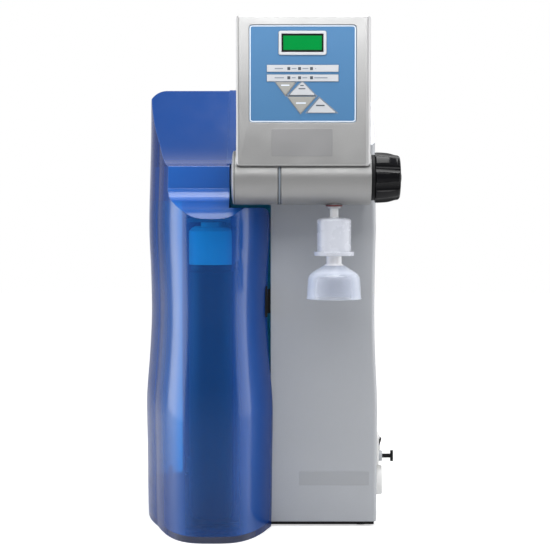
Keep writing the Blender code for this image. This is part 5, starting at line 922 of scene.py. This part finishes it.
# Rims stand this far before the film; lamps and bars have their own fronts on strips and keys.
RIM_PROUD, PRINT_DEPTH = 0.00008, 0.0003
STRIP_PRINT, KEY_PRINT, PLATE_PRINT = -0.0221, -0.02223, -0.02216
STRIPS = (("upper", 0.4870), ("lower", 0.4778))
LAMPS, LAMP_HALF = (0.0796, 0.0904, 0.1024), 0.0015
# Plain bars where a maker would print words: carrier and colour, then each bar's middle and size.
LEGENDS = (
    ("head", "grey_print_and_shade", (
        (0.0695, 0.4870, 0.0085, 0.0011), (0.0849, 0.4870, 0.0050, 0.0011),
        (0.0963, 0.4870, 0.0060, 0.0011), (0.1066, 0.4870, 0.0010, 0.0010),
        (0.0700, 0.4778, 0.0095, 0.0011), (0.0846, 0.4778, 0.0040, 0.0011),
        (0.0957, 0.4778, 0.0050, 0.0011), (0.1118, 0.4778, 0.0135, 0.0011))),
    ("key_down_left_body", "pale_print_and_highlight", ((0.0760, 0.4703, 0.0085, 0.0012),)),
    ("key_down_right_body", "pale_print_and_highlight", ((0.0918, 0.4524, 0.0100, 0.0014),)),
    ("key_up_left_body", "dark_print", (
        (0.0928, 0.4700, 0.0038, 0.0011), (0.0928, 0.4668, 0.0070, 0.0011))),
    ("key_up_right_body", "dark_print", ((0.1113, 0.4500, 0.0088, 0.0014),)),
)


def head_block():
    """A block with the head's outline and softly rounded front edges."""
    low, high = (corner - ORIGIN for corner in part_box("head_front_shell"))
    rings = []
    for angle in range(0, 91, 9):
        share = 1 - math.sin(math.radians(angle))
        depth = 0.0045 * (1 - math.cos(math.radians(angle)))
        outline = rectangle(low.x + 0.0034 * share, low.z + 0.0016 * share, high.x - 0.0062 * share,
                            high.z - 0.0036 * share, 0.0040 - 0.0024 * share, 6)
        rings.append([(x, low.y + depth, z) for x, z in outline])
    return loft("head_block", rings + [[(x, high.y + 0.002, z) for x, _, z in rings[-1]]])


def counter_clockwise(points):
    area = sum(a[0] * b[1] - b[0] * a[1] for a, b in zip(points, points[1:] + points[:1]))
    return points if area > 0 else list(reversed(points))


def add_head_details(m):
    """Rims painted as the keypad edge's highlight and the keys' shadows, indicator squares and the bare
    nameplate.
    """
    shell = smooth_copy("head_front_shell")
    trim(shell, head_block())
    stand_for(tidy_edges(shell, math.radians(30), 0.1), "head_front_shell", m["silver_grey"])
    left, low, right, high = KEYPAD
    # Painted highlight: a pale ring where the keypad's recessed edge catches the light.
    outer = rectangle(left + 0.0004, low + 0.0004, right - 0.0004, high - 0.0004, 0.0031)
    highlight_rim = band("keypad_highlight_rim", outer, inset(outer, 0.0011), "XZ", FILM - RIM_PROUD, PRINT_DEPTH)
    wear(highlight_rim, "head", m["pale_print_and_highlight"], "white_plastic")
    for name, shares in KEY_SHARES.items():
        corners = [(left + KEY_MARGIN + u * KEY_FIELD[0], low + KEY_MARGIN + v * KEY_FIELD[1])
                   for u, v in shares]
        points = counter_clockwise(corners)
        # Painted shadow: a grey rim round each raised key.
        edge = band(name + "_rim", inset(points, -0.0010), inset(points, -0.0003), "XZ",
                    FILM - RIM_PROUD, PRINT_DEPTH)
        wear(edge, "head", m["grey_print_and_shade"], "key_grey")
    for row, z in STRIPS:
        for i, x in enumerate(LAMPS):
            square = rectangle(x - LAMP_HALF, z - LAMP_HALF, x + LAMP_HALF, z + LAMP_HALF, 0.0002, 2)
            lamp = prism(f"indicator_{row}_{i + 1}", square, "XZ", STRIP_PRINT, PRINT_DEPTH)
            wear(lamp, "head", m["dark_print"], "matt_black")
    bars = [(body, kind, bar) for body, kind, group in LEGENDS for bar in group]
    for i, (body, kind, (x, z, width, height)) in enumerate(bars):
        bar = rectangle(x - width / 2, z - height / 2, x + width / 2, z + height / 2, height * 0.4, 3)
        front = STRIP_PRINT if body == "head" else KEY_PRINT
        legend = prism(f"plain_bar_{i + 1}", bar, "XZ", front, PRINT_DEPTH)
        wear(legend, body, m[kind], "matt_black")
    place = rectangle(0.0623, 0.3990, 0.1237, 0.4266, 0.0012)
    plate = prism("bare_nameplate", place, "XZ", PLATE_PRINT, 0.0004)
    wear(soften(plate, 0.00008, 1), "head", m["name_patch"], "silver_grey")


# ---- fasteners and fittings

def screw(m, name, at, axis, radius, body):
    """A pan head screw with a cross recess; its head stands out along the axis."""
    height = radius * 0.55
    profile = [(0, height), (radius * 0.5, height * 0.97), (radius * 0.82, height * 0.75)]
    profile += [(radius, height * 0.3), (radius, -0.0004), (0, -0.0004)]
    head = lathe(name, profile, at, axis, 48)
    long, short = radius * 0.55, radius * 0.13
    for a, b in ((long, short), (short, long)):
        low, high = -height * 0.1, height * 1.6
        start, end = ((low, -a, -b), (high, a, b)) if axis == "X" else ((-a, low, -b), (a, high, b))
        cut(head, box("cross", Vector(start) + Vector(at), Vector(end) + Vector(at)))
    wear(head, body, m["steel"], "steel")


# The service plate's face, nearer than its solid's, and the planes that carry the other screws.
PLATE_FACE, REAR_FACE, HEAD_BACK = 0.1817, 0.3695, 0.0230
REAR_PLACES = ((-0.045, 0.018), (0.166, 0.018), (-0.045, 0.240), (0.168, 0.240), (-0.040, 0.466),
               (0.150, 0.466))
HEAD_PLACES = ((0.033, 0.534), (0.156, 0.534), (0.033, 0.430), (0.156, 0.430))
PLATE_PLACES = ((0.1345, 0.0900), (0.2115, 0.0900), (0.2115, 0.0625))
# Rear fittings: the first one's root and the pitch. Inlet blades: ends, half sizes and middles.
FITTING_AT, FITTING_PITCH = (0.092, 0.357, 0.150), 0.034
BLADE_ENDS, BLADE_HALF = (0.1670, 0.1810), (0.0010, 0.0020)
BLADES = ((0.1930, 0.0808), (0.1860, 0.0738), (0.2000, 0.0738))


def add_fasteners(m):
    for i, (x, z) in enumerate(REAR_PLACES):
        screw(m, f"rear_screw_{i + 1}", (x, REAR_FACE, z), "Y", 0.0032, "cabinet")
    for i, (x, z) in enumerate(HEAD_PLACES):
        screw(m, f"head_screw_{i + 1}", (x, HEAD_BACK, z), "Y", 0.0026, "head")
    for i, (y, z) in enumerate(PLATE_PLACES):
        screw(m, f"plate_screw_{i + 1}", (PLATE_FACE, y, z), "X", 0.0022, "cabinet")


def add_fittings(m):
    """The service plate, the rear fittings, the inlet's blades, the port cap and the bare label."""
    plate = smooth_copy("service_plate")
    trim(plate, box("plate_room", (0.1700, 0.10, 0.03), (PLATE_FACE, 0.25, 0.12)))
    tidy_edges(plate)
    stand_for(settle(soften(plate, 0.0005)), "service_plate", m["pale_plastic"])
    for i, name in enumerate(("feed_water_fitting", "reject_water_fitting", "tank_return_fitting")):
        at = (FITTING_AT[0] + FITTING_PITCH * i, *FITTING_AT[1:])
        profile = [(0.0080, 0.0285), (0.0085, 0.0280), (0.0085, 0), (0.0034, 0), (0.0034, 0.0125),
                   (0.0034, 0.0285)]
        barrel = lathe(name + "_dressed", profile, at, "Y", 64, ring=True)
        stand_for(barrel, name, m["white_plastic"])
        nut = [(0.0108, 0.0188), (0.0115, 0.0181), (0.0115, 0.0136), (0.0108, 0.0129),
               (0.0086, 0.0129), (0.0086, 0.0188)]
        hexagon = lathe(name + "_nut", nut, at, "Y", 6, ring=True)
        wear(hexagon, "cabinet", m["white_plastic"], "white_plastic")
        collet = [(0.0056, 0.0285), (0.0060, 0.0283), (0.0060, 0.0279), (0.0036, 0.0279),
                  (0.0036, 0.0285)]
        release = lathe(name + "_collet", collet, at, "Y", 48, ring=True)
        wear(release, "cabinet", m["dark_print"], "matt_black")

    (root, tip), (across, up) = BLADE_ENDS, BLADE_HALF
    for i, (y, z) in enumerate(BLADES):
        blade = box(f"inlet_blade_{i + 1}", (root, y - across, z - up), (tip, y + across, z + up))
        wear(soften(blade, 0.0005), "cabinet", m["steel"], "steel")

    cap = [(0, 0.0091), (0.0149, 0.0091)] + arc((0.0149, 0.0075), 0.0016, 90, 0, 6)
    cap += [(0.0165, 0.0004), (0.0162, 0), (0.0136, 0), (0.0136, 0.0071), (0, 0.0071)]
    at = (0.1773, 0.150, 0.0395)
    turned = lathe("sanitising_port_cap_dressed", cap, at, "X", 96)
    stand_for(turned, "sanitising_port_cap", m["pale_plastic"])
    place = rectangle(0.092, 0.045, 0.168, 0.060, 0.0010)
    patch = prism("bare_label", place, "XZ", 0.0858, 0.0004)
    wear(soften(patch, 0.00008, 1), "cabinet", m["label_patch"], "cabinet_grey")


# ---- studio

WHITE = (1.0, 1.0, 1.0)
# The room's grey to matt surfaces and to gloss, and between which of its directions gloss sees white.
ROOM, GLOSS_ROOM = (0.58, 0.58, 0.58), (0.25, 0.25, 0.25)
UPPER_Y, UPPER_Z, STRAIGHT_BACK = (0.30, 0.70), (0.20, 0.45), (0.90, 0.99)
# The floor: half its side, its two tones, its glow to the eye, and the share of that for gloss.
FLOOR_SIZE, FLOOR_DARK, FLOOR_PALE = 4, (0.80, 0.80, 0.80), (0.83, 0.83, 0.83)
FLOOR_GLOW, FLOOR_GLOSS = 0.56, 0.30
# Softboxes: middle, what they look at, width, height and power.
SOFTBOXES = (
    ("left_softbox", (-0.85, 0.30, 0.46), (0.0, 0.30, 0.46), 1.10, 0.90, 7.6),
    ("right_softbox", (0.98, 0.12, 0.46), (0.06, 0.12, 0.46), 0.95, 0.90, 4.6),
    ("top_softbox", (0.18, -0.02, 0.84), (0.18, 0.0, 0.40), 0.29, 0.50, 3.6),
    ("scoop_softbox", (-0.02, -0.06, 0.74), (-0.02, 0.03, 0.36), 0.18, 0.26, 0.75),
    ("front_softbox", (0.09, -0.50, 0.66), (0.09, 0.0, 0.60), 0.60, 0.22, 1.85),
)
# The photo's camera, found from the photo's own perspective.
SENSOR, LENS, LENS_SHIFT, NEAR_CLIP = 36, 98.51, -0.03, 0.05
CAMERA_AT, CAMERA_DROP = (0.0657, -1.5404, 0.3545), 2.206


def area(name, at, target, width, height, power):
    light = bpy.data.lights.new(name, "AREA")
    light.shape = "RECTANGLE"
    light.size = width
    light.size_y = height
    light.energy = power
    obj = loose(name, light, Vector(at) + ORIGIN)
    direction = Vector(target) - Vector(at)
    obj.rotation_euler = direction.to_track_quat("-Z", "Y").to_euler()
    return obj


def studio():
    scene = bpy.context.scene
    scene.view_settings.view_transform = "Standard"
    world = bpy.data.worlds.new("studio")
    world.use_nodes = True
    scene.world = world
    tree = world.node_tree
    background = tree.nodes["Background"]
    axes = axes_of(tree, "Generated")
    path = tree.nodes.new("ShaderNodeLightPath")
    # White to the eye and to glass, and to gloss where it looks that way; a dim room elsewhere.
    upper = times(tree, spread(tree, axes["Y"], 0.0, 1.0, *UPPER_Y),
                  spread(tree, axes["Z"], 0.0, 1.0, *UPPER_Z))
    backdrop = larger(tree, upper, spread(tree, axes["Y"], 0.0, 1.0, *STRAIGHT_BACK))
    room = blend_colours(tree, path.outputs["Is Glossy Ray"], ROOM, GLOSS_ROOM)
    shown = times(tree, path.outputs["Is Glossy Ray"], backdrop)
    shown = larger(tree, shown, path.outputs["Is Camera Ray"])
    shown = larger(tree, shown, path.outputs["Is Transmission Ray"])
    tree.links.new(blend_colours(tree, shown, room, WHITE), background.inputs["Color"])

    shape = bmesh.new()
    bmesh.ops.create_grid(shape, x_segments=1, y_segments=1, size=FLOOR_SIZE)
    mesh = bpy.data.meshes.new("floor")
    shape.to_mesh(mesh)
    shape.free()
    floor = loose("floor", mesh, (0, 0, 0))
    material = bpy.data.materials.new("pale_floor")
    material.use_nodes = True
    tree = material.node_tree
    out = tree.nodes["Material Output"]
    tree.nodes.remove(tree.nodes["Principled BSDF"])
    matt = tree.nodes.new("ShaderNodeBsdfDiffuse")
    tone = spread(tree, noise(tree, 6, 3), 0.0, 1.0)
    tree.links.new(blend_colours(tree, tone, FLOOR_DARK, FLOOR_PALE), matt.inputs["Color"])
    glow = tree.nodes.new("ShaderNodeEmission")
    path = tree.nodes.new("ShaderNodeLightPath")
    shown = larger(tree, path.outputs["Is Camera Ray"], path.outputs["Is Transmission Ray"])
    shown = larger(tree, shown, spread(tree, path.outputs["Is Glossy Ray"], 0.0, FLOOR_GLOSS, 0.0, 1.0))
    tree.links.new(spread(tree, shown, 0.0, FLOOR_GLOW, 0.0, 1.0), glow.inputs["Strength"])
    both = tree.nodes.new("ShaderNodeAddShader")
    tree.links.new(matt.outputs[0], both.inputs[0])
    tree.links.new(glow.outputs[0], both.inputs[1])
    tree.links.new(both.outputs[0], out.inputs["Surface"])
    mesh.materials.append(material)

    for lamp in SOFTBOXES:
        area(*lamp)

    data = bpy.data.cameras.new("camera")
    data.sensor_width = SENSOR
    data.lens = LENS
    data.shift_y = LENS_SHIFT
    data.clip_start = NEAR_CLIP
    camera = loose("camera", data, Vector(CAMERA_AT) + ORIGIN)
    camera.rotation_euler = (math.radians(90 - CAMERA_DROP), 0, 0)
    scene.camera = camera


# ---- build

# Pieces whose look differs from their slot's, and edge radii of pieces that keep their own shape.
# Painted shade: the hinge shaft's dark steel stands in for the shade in the barrel's seam, and the
# latch keeper's black for the shade in its recess.
LOOKS = {"hinge_shaft": "dark_steel", "latch_keeper": "matt_black",
         "front_cartridge_head": "pale_plastic", "rear_cartridge_head": "pale_plastic",
         "drain_valve_handle": "matt_black"}
EDGES = {"main_housing": 0.0006, "power_switch": 0.0004, "cover_latch": 0.0003}


def main():
    m = make_materials()
    add_cover(m)
    add_filter(m)
    add_knob(m)
    add_barrel(m)
    add_head_details(m)
    add_fasteners(m)
    add_fittings(m)
    for node in frame["nodes"]:
        if node not in DONE:
            look = LOOKS.get(node, SLOT_OF[node])
            stand_for(smooth_copy(node, EDGES.get(node, 0.0)), node, m[look])
    studio()


main()
